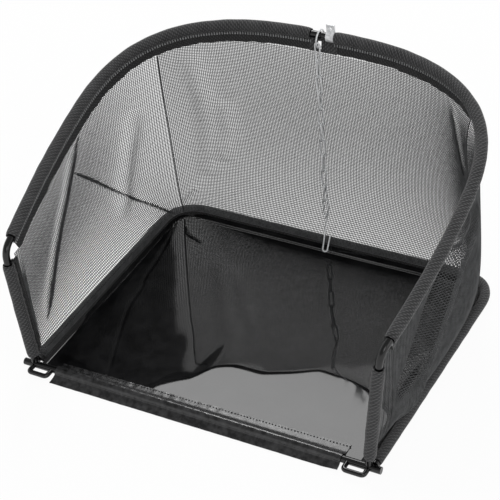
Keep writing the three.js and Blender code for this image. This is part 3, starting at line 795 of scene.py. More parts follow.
@dataclass
class RodFrame:
    """The bent steel rods and the two wire eyes, all in black enamel."""

    plan: BagPlan = PLAN
    sides: int = 20
    front_half: float = 160.0
    eye_wire: float = 4.0
    eye_inner: float = 133.0
    eye_outer: float = 150.0
    eye_reach: float = 10.0
    eye_corner: float = 3.0
    weld: float = 0.6

    def rim_line(self) -> np.ndarray:
        """The rim rod's axis with both front legs."""
        p = self.plan
        foot = np.array([-p.foot_half, 0.0, p.rod_height + p.rod / 2 + p.gap])
        knee = p.rim.at(0.0)
        share = p.knee_bend / p.rim.length
        leg_end = knee - unit(knee - foot) * p.knee_bend
        left = np.vstack([foot, bend(leg_end, knee, p.rim.at(share), 10)])
        arch = p.rim.at(np.linspace(share, 1 - share, 240))[1:-1]
        return np.vstack([left, arch, left[::-1] * [-1, 1, 1]])

    def floor_line(self) -> np.ndarray:
        """The floor rod's axis."""
        p = self.plan
        outline, _ = p.floor_outline(0.0, p.rod / 2 + p.gap)
        flat = outline.spaced(4.0)
        return np.column_stack([flat, np.full(len(flat), p.rod_height)])

    def eye_line(self, side: int) -> np.ndarray:
        """The axis of one wire eye."""
        p = self.plan
        start, reach, corner = self.weld - p.rod / 2, -self.eye_reach, self.eye_corner

        def at(x: float, y: float) -> np.ndarray:
            return np.array([side * x, y, p.rod_height])

        far, near = self.eye_outer, self.eye_inner
        outer = bend(at(far, reach + corner), at(far, reach), at(far - corner, reach), 6)
        inner = bend(at(near + corner, reach), at(near, reach), at(near, reach + corner), 6)
        return np.vstack([at(far, start), outer, inner, at(near, start)])

    def build(self) -> None:
        """Makes every rod and both eyes."""
        ends = np.array([[side * self.front_half, 0, self.plan.rod_height] for side in (-1, 1)])
        rods = {"rim_rod": self.rim_line(), "floor_frame_rod": self.floor_line(), "front_rod": ends}
        pieces = [(f"{node}_painted", node, line, self.plan.rod) for node, line in rods.items()]
        for label, side in (("left", -1), ("right", 1)):
            node = f"{label}_mounting_eye"
            pieces.append((f"{label}_eye_painted", node, self.eye_line(side), self.eye_wire))
        for name, node, line, wire in pieces:
            values = {"Radius": wire / 2 * MM, "Sides": self.sides}
            settle(grow(name, [line], sweep_tree(), values, ENAMEL), "black_paint", node)


@dataclass
class SewnSleeve:
    """A cloth tube sewn round a rod, with a flat hem below a puckered seam."""

    plan: BagPlan = PLAN
    around: int = 18
    lead: float = 0.36
    neck: float = 0.75
    pucker: float = 0.5
    pucker_wave: float = 6.5
    pucker_reach: float = 0.8
    slack: float = 0.16
    sway: float = 0.7
    frayed: float = 0.35
    seam_room: float = 0.8
    edge_round: float = 0.5
    pinch: float = 0.14
    pinch_run: float = 4.0
    turn_in: float = 1.2
    turn_share: float = 0.8
    stitch_row: float = 0.8
    stitch_out: float = 0.3

    def section(self, run: np.ndarray, hem: float, seed: int, slim: float, droop: float) -> list:
        """A sleeve's section, from the seam round the rod and then round the hem.

        Args:
            run: Distances along the sleeve.
            hem: How far the hem stands out from the tube.
            seed: Which unevenness.
            slim: How much nearer the tube lies to the rod than usual.
            droop: How far the hem's edge hangs off its plane.

        Returns:
            Offsets aside and down, each for every distance.
        """
        radius, half = self.plan.sleeve / 2 - slim, self.plan.hem / 2
        ends = np.clip(np.minimum(run, run[-1] - run) / self.pinch_run, 0, 1)
        tuck = 1 - self.pinch + self.pinch * ends**0.5
        slack = self.slack * ripple(run, seed, 22.0, 60.0)
        crimp = ripple(run, seed + 1, self.pucker_wave, 2.2 * self.pucker_wave)
        sway = self.sway * ripple(run, seed + 2, 45.0, 24.0) - droop
        edge = radius + hem + self.frayed * ripple(run, seed + 3, 17.0, 8.0)
        section = []
        for k in range(self.around + 1):
            angle = self.lead + (2 * math.pi - 2 * self.lead) * k / self.around
            near = math.exp(-(((math.cos(angle) - 1) / self.pucker_reach) ** 2))
            size = radius * tuck + slack + self.pucker * 0.9 * near * crimp
            section.append((math.sin(angle) * size, math.cos(angle) * size))
        seam = radius + self.seam_room
        rows = [
            (-self.neck - 0.1 * crimp, seam),
            (-half - self.pucker * np.maximum(crimp, -0.6), seam + 1.6),
            (-half - 0.4 * self.pucker * crimp, radius + hem * 0.62),
            (-half * 0.9, edge - self.edge_round),
            (0.0, edge),
        ]
        for a, b in rows + [(-a, b) for a, b in rows[-2::-1]]:
            section.append((a + sway * np.clip((b - radius) / hem, 0, 1), b))
        return section

    def shell(self, skin: Skin, route: np.ndarray, down: np.ndarray, hem: float, seed: int,
              slim: float = 0.0, droop: float = 0.0) -> list[np.ndarray]:
        """Adds one sleeve to a skin.

        Args:
            skin: The mesh that it joins.
            route: Points of the rod's axis.
            down: Direction of the hem at each point.
            hem: How far the hem stands out from the usual tube.
            seed: Which unevenness.
            slim: How much nearer the tube lies to the rod than usual.
            droop: How far the hem's edge hangs off its plane.

        Returns:
            Three lines for stitches on each face.
        """
        path = Path(route)
        tangent = unit(np.gradient(route, axis=0))
        down = square_to(down, tangent)
        aside = np.cross(down, tangent)
        points = loft(route, aside, down, self.section(path.run, hem + slim, seed, slim, droop))
        first = points[0]
        girth = np.concatenate([[0], np.cumsum(np.linalg.norm(np.roll(first, -1, 0) - first, axis=1))])
        rings = []
        for end, inner in ((0, 1), (-1, -2)):
            inwards = unit(route[inner] - route[end]) * self.turn_in
            rings.append(route[end] + (points[end] - route[end]) * self.turn_share + inwards)
        lengths = np.concatenate([[-self.turn_in], path.run, [path.length + self.turn_in]])
        skin.tube(np.concatenate([rings[:1], points, rings[1:]]), lengths, girth)
        out, seam = self.neck + self.stitch_out, self.plan.sleeve / 2 - slim + self.seam_room
        rows = [seam + self.stitch_row * row for row in range(3)]
        return [route + aside * side * out + down * row for side in (-1, 1) for row in rows]


@dataclass
class ClothTrim:
    """All sleeves, the binding tape and their stitches."""

    plan: BagPlan = PLAN
    sewing: SewnSleeve = field(default_factory=SewnSleeve)
    step: float = 2.0
    rim_start: float = 14.0
    notch: float = 22.0
    gather_top: float = 2.9
    gather_lap: float = 2.0
    gather_sheet: float = 0.9
    gather_back: float = 0.8
    slit: tuple[float, float, float, float] = (-4.4, -1.6, 5.0, 12.7)
    leg_foot: float = 6.0
    leg_top: float = 12.0
    leg_hem: float = 7.0
    floor_start: float = 6.5
    floor_slim: float = 0.9
    floor_droop: float = 2.6
    binding_start: float = 9.0
    binding_thickness: float = 2.0
    binding_height: float = 2.0
    binding_sunk: float = 0.4
    binding_lean: float = 0.3

    def stitches(self, name: str, lines: list[np.ndarray], finish: Finish, thread: float = 0.36,
                 pitch: float = 3.6) -> None:
        """Lays stitches along seam lines."""
        values = {"Pitch": pitch * MM, "Stitch": 0.72 * pitch * MM, "Thread": thread * MM, "Seed": len(name)}
        settle(grow(name, lines, stitch_tree(), values, finish), "sleeve_fabric")

    def rim_places(self, start: float, end: float) -> np.ndarray:
        """Places on the wall's way round between two shares of the rim's length."""
        w = np.linspace(0, 1, 6001)
        share = self.plan.rim_share(w)
        count = round((end - start) * self.plan.rim.length / self.step)
        first = self.plan.rim_share(np.array([0.0]))[0]
        wanted = np.linspace(start, end, count)
        slope = self.plan.seam_at / (0.5 - self.plan.seam_from_centre / self.plan.rim.length - first)
        inside = np.interp(wanted, share, w)
        before = (wanted - first) * slope
        after = 1 - (1 - wanted - first) * slope
        return np.where(wanted < first, before, np.where(wanted > 1 - first, after, inside))

    def rim(self) -> None:
        """Makes the rim's sleeve with its notch, and its seam."""
        p, skin = self.plan, Skin()
        length = p.rim.length
        start, notch = self.rim_start / length, self.notch / 2 / length
        seams = []
        for seed, (low, high) in enumerate([(start, 0.5 - notch), (0.5 + notch, 1 - start)]):
            w = self.rim_places(low, high)
            route = p.rim.at(p.rim_share(w))
            seams += self.sewing.shell(skin, route, p.hem_down(w), p.rim_hem, 10 + 10 * seed)
        self.gather(skin)
        settle(skin.make("rim_sleeve_sewn", CLOTH), "sleeve_fabric", "rim_sleeve")
        self.stitches("rim_stitches", seams, SEAM_THREAD, 0.45, 2.3)

    def gather(self, skin: Skin) -> None:
        """Adds the gathered cloth of the notch, slit where the chain's ring turns."""
        p = self.plan
        half, low = self.notch / 2 + self.gather_lap, p.sleeve / 2 + p.rim_hem
        left, right, slit_top, slit_end = self.slit
        parts = [(-half, half, self.gather_top, slit_top), (-half, left, slit_top, slit_end),
                 (right, half, slit_top, slit_end), (-half, half, slit_end, low)]
        places = np.linspace(0, 1, 6001)
        for start, end, high, deep in parts:
            run = np.linspace(start, end, max(8, round(end - start) * 2))
            share = 0.5 + run / p.rim.length
            w = np.interp(share, p.rim_share(places), places)
            down, centre = p.hem_down(w), p.rim.at(share)
            back = np.cross(down, unit(np.gradient(centre, axis=0)))
            depth = np.linspace(high, deep, 8)
            fold = 0.7 * np.sin(run / 0.85) + 0.3 * np.sin(run / 0.47)
            section = [(self.gather_back + fold * (low - d) / low, d) for d in depth]
            skin.slab(loft(centre, back, down, section), self.gather_sheet, run, depth)

    def legs(self) -> None:
        """Makes both leg sleeves."""
        p = self.plan
        for label, side in (("left", -1), ("right", 1)):
            foot = np.array([side * p.foot_half, 0.0, p.rod_height + p.rod / 2 + p.gap])
            knee = np.array([side * p.knee_half, p.knee_back, p.knee_height])
            way = unit(knee - foot)
            ends = [foot + way * self.leg_foot, knee - way * self.leg_top]
            route = Path(np.array(ends)).spaced(self.step)
            skin = Skin()
            lines = self.sewing.shell(skin, route, np.array([0.0, 1.0, 0.0]), self.leg_hem, 40 + side)
            settle(skin.make(f"{label}_leg_sleeve_sewn", CLOTH), "sleeve_fabric", f"{label}_leg_sleeve")
            self.stitches(f"{label}_leg_stitches", lines, DARK_THREAD)

    def on_floor(self, inset: float, start: float, height: float) -> tuple[np.ndarray, np.ndarray]:
        """A route round the floor.

        Args:
            inset: How far inwards of the floor rod it runs.
            start: Distance of both ends behind the front rod.
            height: Its height.

        Returns:
            Its points, and the way inwards at each.
        """
        flat = self.plan.floor_outline(inset, start)[0].spaced(self.step)
        way = unit(np.gradient(flat, axis=0))
        route = np.column_stack([flat, np.full(len(flat), height)])
        return route, np.column_stack([way[:, 1], -way[:, 0], np.zeros(len(flat))])

    def floor_edge(self) -> None:
        """Makes the floor rod's sleeve."""
        p, skin = self.plan, Skin()
        route, inward = self.on_floor(0.0, self.floor_start, p.rod_height)
        lines = self.sewing.shell(skin, route, inward, p.floor_hem, 70, self.floor_slim, self.floor_droop)
        settle(skin.make("floor_sleeve_sewn", CLOTH), "sleeve_fabric", "floor_edge_sleeve")
        self.stitches("floor_stitches", lines, DARK_THREAD)

    def binding(self) -> None:
        """Makes the binding tape that joins the walls to the floor."""
        p, skin = self.plan, Skin()
        base = p.rod_height + p.hem / 2 - self.binding_sunk
        middle, inward = self.on_floor(p.binding_inset, self.binding_start, base)
        run = np.arange(len(middle)) * self.step
        half = self.binding_thickness / 2
        height = self.binding_height + 0.25 * ripple(run, 81, 13.0, 30.0)
        lean = self.binding_lean * ripple(run, 82, 18.0)
        angles = [math.pi * k / 6 for k in range(7)]
        section = [(half * math.cos(a) + lean, height - half + half * math.sin(a)) for a in angles]
        foot = ((-1.1, 0.0), (-0.6, -0.5), (0.6, -0.5), (1.1, 0.0))
        section += [(half * share, drop) for share, drop in foot]
        up = np.array([0.0, 0.0, 1.0])
        # The tape's cloth coordinates lie past the sleeve tube's girth, so the whole tape gets the cloth's
        # painted hem shade.
        skin.tube(loft(middle, inward, up, section), run, np.linspace(30, 44, len(section) + 1))
        settle(skin.make("floor_binding_sewn", CLOTH), "sleeve_fabric", "floor_binding")
        line = middle + inward * (half + 0.1) + up * (height[:, None] * 0.45)
        self.stitches("binding_stitches", [line], DARK_THREAD, 0.3)

    def build(self) -> None:
        """Makes all the cloth trim."""
        self.rim()
        self.legs()
        self.floor_edge()
        self.binding()


@dataclass(frozen=True)
class Fold:
    """A fold in one wall along a line of (distance back or across, height) pairs.

    Where the net is folded on itself, the pleat is half the width of the doubled strip.
    """

    wall: Wall
    line: tuple[tuple[float, float], ...]
    depth: float
    width: float
    pleat: float = 0.0

    def nearest(self, flat: np.ndarray) -> tuple[np.ndarray, np.ndarray]:
        """Finds the fold's line from points of the wall.

        Args:
            flat: Points as (distance, height) pairs.

        Returns:
            Distance from the line, and share of the line's length.
        """
        path = Path(np.array(self.line))
        best = np.full(flat.shape[:-1], 1e9)
        share = np.zeros_like(best)
        for k in range(len(self.line) - 1):
            a, b = path.points[k], path.points[k + 1]
            way, length = unit(b - a), float(np.linalg.norm(b - a))
            reach = np.clip((flat - a) @ way, 0, length)
            distance = np.linalg.norm(flat - a - reach[..., None] * way, axis=-1)
            share = np.where(distance < best, (path.run[k] + reach) / path.length, share)
            best = np.minimum(best, distance)
        return best, share


@dataclass
class NetWalls:
    """The three see-through walls, woven of real yarns.

    The yarns lie a little further apart than the cloth's own, so that the weave shows.
    """

    plan: BagPlan = PLAN
    pitch: float = 1.5
    side_pitch: float = 2.1
    yarn: float = 0.64
    step: float = 3.4
    pleat_step: float = 1.0
    seam_half: float = 0.5
    foot_drop: float = 6.0
    corner_pull: float = 4.0
    corner_width: float = 0.035
    corner_way: tuple[float, float, float] = (-0.95, -0.3, 0.0)
    edge_fade: float = 0.08
    layer_gap: float = 0.8
    seam_yarn: float = 0.35
    into_hem: float = 0.018
    folds: tuple[Fold, ...] = (
        Fold(Wall.LEFT, ((127.7, 144.4), (121.5, 139.1), (109, 122.1), (97, 102.2), (85.7, 85.9),
                         (74.1, 69.3), (59.8, 50.7), (46.8, 38.9), (32.6, 26.6)), 2.4, 5.0, 4.6),
        Fold(Wall.LEFT, ((108.2, 123.3), (125.2, 108.1), (143.5, 91.1), (159.2, 74.8), (173.3, 59.8),
                         (186.8, 46.2), (200.2, 34), (214.6, 19.4), (231.4, 5)), 1.6, 2.6, 1.7),
        Fold(Wall.LEFT, ((196.6, 135), (193.6, 116), (187.2, 93), (180.4, 70), (174.8, 52), (165.1, 37)),
             3.0, 8.0),
        Fold(Wall.REAR, ((-129.4, 35.7), (-135.1, 29.9), (-140.6, 23.9), (-143.4, 15)), 1.5, 2.4, 1.8),
        Fold(Wall.REAR, ((-118.9, 182), (-116.7, 156), (-114.5, 129), (-114, 106.5), (-117, 73.5),
                         (-120.5, 47)), 3.2, 9.0),
        Fold(Wall.REAR, ((-97.2, 129), (-98.9, 96), (-107.6, 63)), 2.4, 8.0),
        Fold(Wall.REAR, ((120.9, 185.3), (124.8, 169.3), (128.4, 149.7), (132.4, 132.2), (135.3, 118.9)),
             2.0, 3.5, 1.5),
        Fold(Wall.RIGHT, ((149.7, 141), (110.2, 135), (77.9, 126.5), (49.7, 116)), -4.5, 4.5),
        Fold(Wall.RIGHT, ((119.4, 138.4), (87, 114.2), (66.7, 91.1), (46.3, 67.9), (27.9, 52.4)), 13.0, 8.0),
        Fold(Wall.RIGHT, ((172.5, 135.2), (123.1, 117.4), (89.1, 89.6), (56.2, 56.6), (41.7, 16.2)),
             -7.0, 5.0),
    )

    def surface(self, wall: Wall, w: np.ndarray, t: np.ndarray) -> np.ndarray:
        """Points of a wall with its folds, and with the rear right corner drawn in."""
        points = self.plan.wall(w, t)
        rise = np.clip(t, 0, 1)
        corner = np.exp(-(((w - 1 + self.plan.seam_at) / self.corner_width) ** 2))
        drawn = self.corner_pull * corner * rise * (1 - rise**14)
        points = points + drawn[..., None] * np.array(self.corner_way)
        flat = wall.flat(points)
        free = np.clip(np.minimum(t, 1 - t) / self.edge_fade, 0, 1)
        for fold in self.folds:
            if fold.wall is wall:
                distance, share = fold.nearest(flat)
                ridge = np.exp(-((distance / fold.width) ** 2)) * (1 - np.abs(2 * share - 1) ** 6) * free
                points = points - wall.outward * (fold.depth * ridge)[..., None]
        return points

    def span(self, wall: Wall) -> tuple[float, float]:
        """First and last place of a wall on the way round."""
        room = self.seam_half / self.plan.rim.length
        seam, strip = self.plan.seam_at, self.plan.front_strip
        return {Wall.LEFT: (-strip, seam - room), Wall.REAR: (seam + room, 1 - seam - room),
                Wall.RIGHT: (1 - seam + room, 1 + strip)}[wall]

    def in_pleats(self, wall: Wall, points: np.ndarray, narrow: float) -> list[np.ndarray]:
        """Cuts a yarn to the parts that lie in the wall's pleats."""
        inside = np.zeros(len(points), bool)
        for fold in self.folds:
            if fold.wall is wall and fold.pleat:
                distance, share = fold.nearest(wall.flat(points))
                taper = np.clip(np.minimum(share, 1 - share) / 0.12, 0.3, 1)
                inside |= distance < fold.pleat * narrow * taper
        edges = np.flatnonzero(np.diff(np.concatenate([[0], inside.astype(int), [0]])))
        return [points[a:b] for a, b in zip(edges[::2], edges[1::2]) if b - a > 1]

    def yarns(self, wall: Wall, layer: int) -> tuple[list[np.ndarray], list[float]]:
        """Yarns of one layer of a wall.

        Args:
            wall: The wall.
            layer: 0 for the whole wall, 1 and 2 for the layers that lie in its pleats.

        Returns:
            The yarns' lines and girths.
        """
        p, rear = self.plan, wall is Wall.REAR
        low, high = self.span(wall)
        fine = np.linspace(low, high, 400)
        foot_run = Path(p.wall(fine, np.full(400, 0.3))).length
        step = self.pleat_step if layer else self.step
        lift = wall.outward * self.yarn * 0.3
        routes = []
        count = round(foot_run / (self.pitch if rear else self.side_pitch))
        for w in low + (high - low) * np.minimum(np.arange(count + 1) + layer / 3, count) / count:
            tall = float(p.hem_end(np.clip([w], 0, 1))[0, 2]) - p.foot_height
            t = np.linspace(-self.foot_drop / tall, 1 + self.into_hem, max(8, round(tall / step)))
            routes.append((np.full(len(t), w), t, 1.0 if rear else 0.9, lift))
        across = np.linspace(low, high, round(foot_run / step))
        tops = p.hem_end(np.clip(across, 0, 1))[:, 2]
        first = p.foot_height - self.foot_drop + self.pitch * layer / 3
        for z in np.arange(first, float(tops.max()), self.pitch):
            t = (z - p.foot_height) / (tops - p.foot_height)
            inside = np.flatnonzero(t <= 1 + self.into_hem)
            if len(inside) > 2:
                piece = slice(inside[0], inside[-1] + 1)
                t = np.minimum(t[piece], 1 + self.into_hem)
                low_share = 1 - (z - first) / (float(tops.max()) - first)
                routes.append((across[piece], t, 1.0 if rear else 0.94 + 0.2 * low_share, -lift))
        lines, girths = [], []
        for w, t, girth, offset in routes:
            line = self.surface(wall, w, t) + offset - self.layer_gap * layer * wall.outward
            parts = self.in_pleats(wall, line, 1.35 - 0.35 * layer) if layer else [line]
            lines += parts
            girths += [girth] * len(parts)
        return lines, girths

    def seam(self, side: int) -> list[np.ndarray]:
        """Yarns of a corner seam, where two walls are sewn together."""
        w, wall = (self.plan.seam_at, Wall.LEFT) if side < 0 else (1 - self.plan.seam_at, Wall.RIGHT)
        t = np.linspace(-0.02, 1, 60)
        room = self.seam_yarn / self.plan.rim.length
        return [self.surface(wall, np.full(60, w + k * room), t) for k in (-1, 1)]

    def build(self) -> None:
        for wall in Wall:
            lines, girths = [], []
            for layer in range(3):
                more = self.yarns(wall, layer)
                lines += more[0]
                girths += more[1]
            if wall is not Wall.REAR:
                lines += self.seam(-1 if wall is Wall.LEFT else 1)
                girths += [1.0, 1.0]
            values = {"Radius": self.yarn / 2 * 1.15 * MM, "Sides": 3}
            name = wall.value.replace("mesh_panel", "net_wall")
            made = grow(name, lines, sweep_tree(), values, NET, girths=girths)
            settle(made, "wall_mesh", wall.value)
            low, high = self.span(wall)
            w = np.linspace(low, high, 200)
            width = Path(self.plan.wall(w, np.full(200, 0.5))).length
            tall = self.plan.hem_end(np.clip(w, 0, 1))[:, 2] - self.plan.foot_height + self.foot_drop


@dataclass
class VinylFloor:
    """The glossy floor sheet and the lip that is led over the front rod."""

    plan: BagPlan = PLAN
    sheet: float = 0.6
    front: float = 4.0
    inset: float = 7.6
    over_hem: tuple[float, float] = (1.55, 4.4)
    edge_height: float = 3.7
    swell_run: float = 45.0
    swell_end: float = 6.0
    swell_back: float = 115.0
    crest: tuple[tuple[float, float, float], ...] = (
        (-60, 5, 0.0), (-45.5, 13.4, 0.7), (-22.8, 33.6, 0.9), (-14.5, 51.8, 1.9),
        (1.4, 59.9, 2.2), (26.9, 60.1, 1.8), (50.1, 71.2, 2.5), (69.4, 82.8, 3.5),
        (96.9, 80.7, 3.3), (114.9, 75.5, 2.8), (135, 60, 2.0), (150, 40, 0.5),
    )
    crest_blur: float = 4.0
    waves: float = 0.1
    waves_from: float = 95.0
    waves_run: float = 50.0
    grid: tuple[int, int] = (180, 150)
    crowding: float = 0.46
    lip: float = 0.7
    lip_half: float = 128.0
    lip_seam: float = 13.3
    lip_reach: float = 10.3
    lip_drop: float = 0.8
    lip_flat_to: float = 7.5
    lip_bend_at: float = 5.2
    lip_wave: float = 0.45
    lip_curl: float = 1.4
    curl_run: float = 7.0
    lip_skew: float = 1.6
    skew_run: float = 9.0
    edge_slant: float = 0.008
    seam_slant: float = 0.025
    stitch_line: float = 11.6

    def floor_height(self, x: np.ndarray, y: np.ndarray) -> np.ndarray:
        """Height of the sheet: it swells from the front to a crest, then sinks slowly to the rear."""
        across, spot, tilt = np.array(self.crest).T
        fine = np.linspace(-170, 170, 681)
        reach = 24
        weight = np.exp(-((np.arange(-reach, reach + 1) / 2 / self.crest_blur) ** 2))
        weight /= weight.sum()

        def blurred(values: np.ndarray) -> np.ndarray:
            smooth = np.pad(np.interp(fine, across, values), reach, "edge")
            return np.interp(x, fine, np.convolve(smooth, weight, "valid"))

        crest, slope = blurred(spot), blurred(np.tan(np.radians(tilt)))
        s, run, end = y - crest, self.swell_run, self.swell_end
        over = np.clip(s, 0, end)
        rise = slope * (np.clip(s + run, 0, run) ** 2 / (2 * run) + over - over**2 / (2 * end))
        sink = np.clip((s - end) / self.swell_back, 0, 1)
        waves = self.waves * (np.sin(x / 31 + y / 57) * np.sin(y / 43) + 0.6 * np.sin(x / 17 - y / 29))
        waves *= np.clip((y - self.waves_from) / self.waves_run, 0, 1)
        return rise * (1 + np.cos(math.pi * sink)) / 2 + waves

    def build_floor(self) -> None:
        """Makes the floor sheet."""
        p = self.plan
        outline, _ = p.floor_outline(self.inset, self.front)
        half = outline.at(np.linspace(0, 0.5, 1500))
        back = p.floor_depth - self.inset
        rows, columns = self.grid
        v = np.linspace(0, 1, rows)
        y = self.front + (back - self.front) * v
        reach = np.interp(y, half[:, 1], -half[:, 0])
        reach[-1] = -half[np.argmax(half[:, 1] > back - 0.05), 0]
        crowded = self.crowding * math.pi
        u = np.sin(np.linspace(-1, 1, columns) * crowded) / math.sin(crowded)
        x = reach[:, None] * u[None, :]
        depth = np.repeat(y[:, None], len(u), axis=1)
        free = (1 - np.abs(u[None, :]) ** 24) * (1 - v[:, None] ** 40)
        edge = np.minimum((1 - np.abs(u[None, :])) * reach[:, None], back - depth)
        height, width = self.over_hem
        lap = height * np.clip(1 - edge / width, 0, 1) ** 1.3
        z = self.edge_height + self.floor_height(x, depth) * free + lap
        skin = Skin()
        skin.slab(np.stack([x, depth, z], axis=-1), self.sheet, y, u * p.floor_front / 2)
        made = settle(skin.make("floor_sheet_glossy", VINYL), "floor_plastic", "floor_sheet")

    def lip_line(self) -> np.ndarray:
        """The lip's section from its seam, over the rod, to its free edge."""
        p = self.plan
        wrap = p.rod / 2 + p.gap + self.lip / 2
        angle = np.radians(np.linspace(40, 182, 24))
        arc = np.column_stack([wrap * np.cos(angle), p.rod_height + wrap * np.sin(angle)])
        seam = self.edge_height + self.sheet / 2 + self.lip / 2
        flat = np.column_stack([np.linspace(self.lip_seam, self.lip_flat_to, 6), np.full(6, seam)])
        back = bend(flat[-1], np.array([self.lip_bend_at, seam]), arc[0], 10)
        drop = bend(arc[-1], np.array([-wrap - 0.3, 3.0]), np.array([-self.lip_reach, self.lip_drop]), 12)
        return np.vstack([flat[:-1], back[:-1], arc, drop[1:]])

    def build_lip(self) -> None:
        """Makes the lip and its line of stitches."""
        line = self.lip_line()
        x = np.linspace(-self.lip_half, self.lip_half, 200)
        run = Path(line).run
        free = np.clip(-line[:, 0] / self.lip_reach, 0, 1) ** 1.5
        wave = self.lip_wave * ripple(x, 91, 42.0, 75.0)
        curl = self.lip_curl * np.exp(-((x - self.lip_half) / self.curl_run) ** 2)
        skew = self.lip_skew * np.exp(-((x + self.lip_half) / self.skew_run) ** 2)
        points = np.zeros((len(x), len(line), 3))
        points[..., 0] = x[:, None] - skew[:, None] * free
        behind = np.clip((line[:, 0] - self.lip_bend_at) / (self.lip_seam - self.lip_bend_at), 0, 1)
        slanted = x[:, None] * (self.seam_slant * behind + self.edge_slant * free)
        points[..., 1] = line[None, :, 0] - 0.5 * wave[:, None] * free + slanted
        lifted = (wave + curl)[:, None] * free * 0.8 + 0.06 * ripple(x, 92, 11.0)[:, None]
        points[..., 2] = line[None, :, 1] + lifted
        skin = Skin()
        skin.slab(points, self.lip, x, run)
        made = settle(skin.make("front_lip_glossy", CREASED_VINYL), "floor_plastic", "front_lip")
        seam = np.column_stack(
            [x, self.stitch_line + self.seam_slant * 0.8 * x, np.full(len(x), line[0, 1] + self.lip / 2)]
        )
        values = {"Pitch": 2.7 * MM, "Stitch": 1.5 * MM, "Thread": 0.65 * MM, "Seed": 5}
        settle(grow("lip_stitches", [seam], stitch_tree(), values, DARK_THREAD), "sleeve_fabric")

    def build(self) -> None:
        """Makes floor and lip."""
        self.build_floor()
        self.build_lip()


@dataclass
class HangingChain:
    """The zinc-plated ring, links and hook that hang from the rear bar."""

    plan: BagPlan = PLAN
    x: float = -3.0
    wire: float = 1.4
    seat_wire: float = 1.5
    pitch: float = 15.6
    width: float = 5.8
    links: int = 11
    forward: float = 6.0
    drop: float = 4.5
    ring_inner: float = 14.0
    hook_lean: float = 20.0
    hook_side: float = 5.0
    hook_prong: float = 13.0
    hook_bend: float = 2.2
    hook_spread: float = 1.0
    hook_eye_turn: float = 1.5
    sheet: float = 1.0

    @property
    def link_half(self) -> float:
        """From a link's middle to its end bars' centres."""
        return (self.pitch + self.seat_wire + self.plan.gap) / 2

    def middle(self, index: int) -> float:
        """Height of a link's middle."""
        return self.plan.rim_height - self.drop - self.link_half - index * self.pitch

    def wired(self, name: str, line: np.ndarray, closed: bool = False) -> Object:
        """A piece bent from the chain's wire."""
        values = {"Radius": self.wire / 2 * MM, "Sides": 10}
        return grow(name, [line], sweep_tree(), values, ZINC, closed)

    def build_links(self) -> None:
        """Makes the eleven links from one."""
        radius = (self.width - self.seat_wire) / 2
        straight = self.link_half - radius
        angle = np.linspace(0, math.pi, 9)
        top = np.column_stack([radius * np.cos(angle), 0 * angle, straight + radius * np.sin(angle)])
        outline = np.vstack([top, top * [-1, 1, -1]])
        link = self.wired("one_link", outline - self.plan.shift, closed=True)
        y = self.plan.rim_back - self.forward
        places = np.array([[self.x, y, self.middle(i)] for i in range(self.links)])
        nodes = [f"chain_link_{i + 1:02d}" for i in range(self.links)]
        made = grow("chain_links_zinc", [places], chain_tree(), {"Link": link}, ZINC)
        bpy.data.objects.remove(link)
        settle(made, "zinc_wire", *nodes, body="chain")

    def build_ring(self) -> None:
        """Makes the ring round the rear bar."""
        p = self.plan
        radius = (self.ring_inner + self.seat_wire) / 2
        hang = self.ring_inner / 2 - p.rod / 2 - p.gap
        angle = np.linspace(0, 2 * math.pi, 41)[:-1]
        centre = np.array([self.x, p.rim_back, p.rim_height - hang])
        line = centre + np.column_stack([0 * angle, radius * np.cos(angle), radius * np.sin(angle)])
        settle(self.wired("chain_ring_zinc", line, closed=True), "zinc_wire", "chain_ring", body="chain")

    def build_hook(self) -> None:
        """Makes the hook under the last link."""
        p = self.plan
        radius = (self.width - self.seat_wire) / 2
        y = p.rim_back - self.forward
        centre = self.middle(self.links - 1) - self.link_half + self.seat_wire + p.gap - radius
        share = np.linspace(0.5, -0.5, 19)
        angle = math.pi * (0.5 + self.hook_eye_turn * share)
        eye = np.column_stack([0 * angle, radius * np.cos(angle), radius * np.sin(angle)])
        eye += [self.x, y, centre]
        low = p.rod_height + self.sheet + self.hook_bend + self.seat_wire / 2 + p.gap
        foot = np.array([self.x + self.hook_side, y - self.hook_lean, low])
        way = unit(foot - eye[-1])
        turn = np.linspace(0, math.pi, 11)[:, None]
        aside = np.array([1.0, 0.0, 0.0])
        curve = foot + aside * self.hook_bend * (1 - np.cos(turn)) + way * self.hook_bend * np.sin(turn)
        tip = foot + aside * (2 * self.hook_bend + self.hook_spread) - way * self.hook_prong
        line = np.vstack([eye, eye[-1] * 0.5 + foot * 0.5, curve, tip])
        settle(self.wired("chain_hook_zinc", line), "zinc_wire", "chain_hook", body="chain")

    def build(self) -> None:
        """Makes the chain and plates the clip."""
        self.build_ring()
        self.build_links()
        self.build_hook()
        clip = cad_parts["chain_clip"]
        for slot in clip.material_slots:
            slot.material = ZINC.make()
        LOG.info("chain_clip: plated")


@dataclass(frozen=True)
class Softbox:
    """A lamp with a soft face. Places and sizes are in metres, and a level of 1 is white."""

    name: str
    spot: tuple[float, float, float]
    aim: tuple[float, float, float]
    size: tuple[float, float]
    level: float

    def hang(self) -> None:
        """Adds the lamp to the scene."""
        data = bpy.data.lights.new(self.name, "AREA")
        data.shape, data.size, data.size_y = "RECTANGLE", *self.size
        data.energy = self.level * math.pi * self.size[0] * self.size[1]
        made = place(self.name, data)
        made.location = self.spot
        made.rotation_mode = "QUATERNION"
        made.rotation_quaternion = (Vector(self.aim) - Vector(self.spot)).to_track_quat("-Z", "Y")


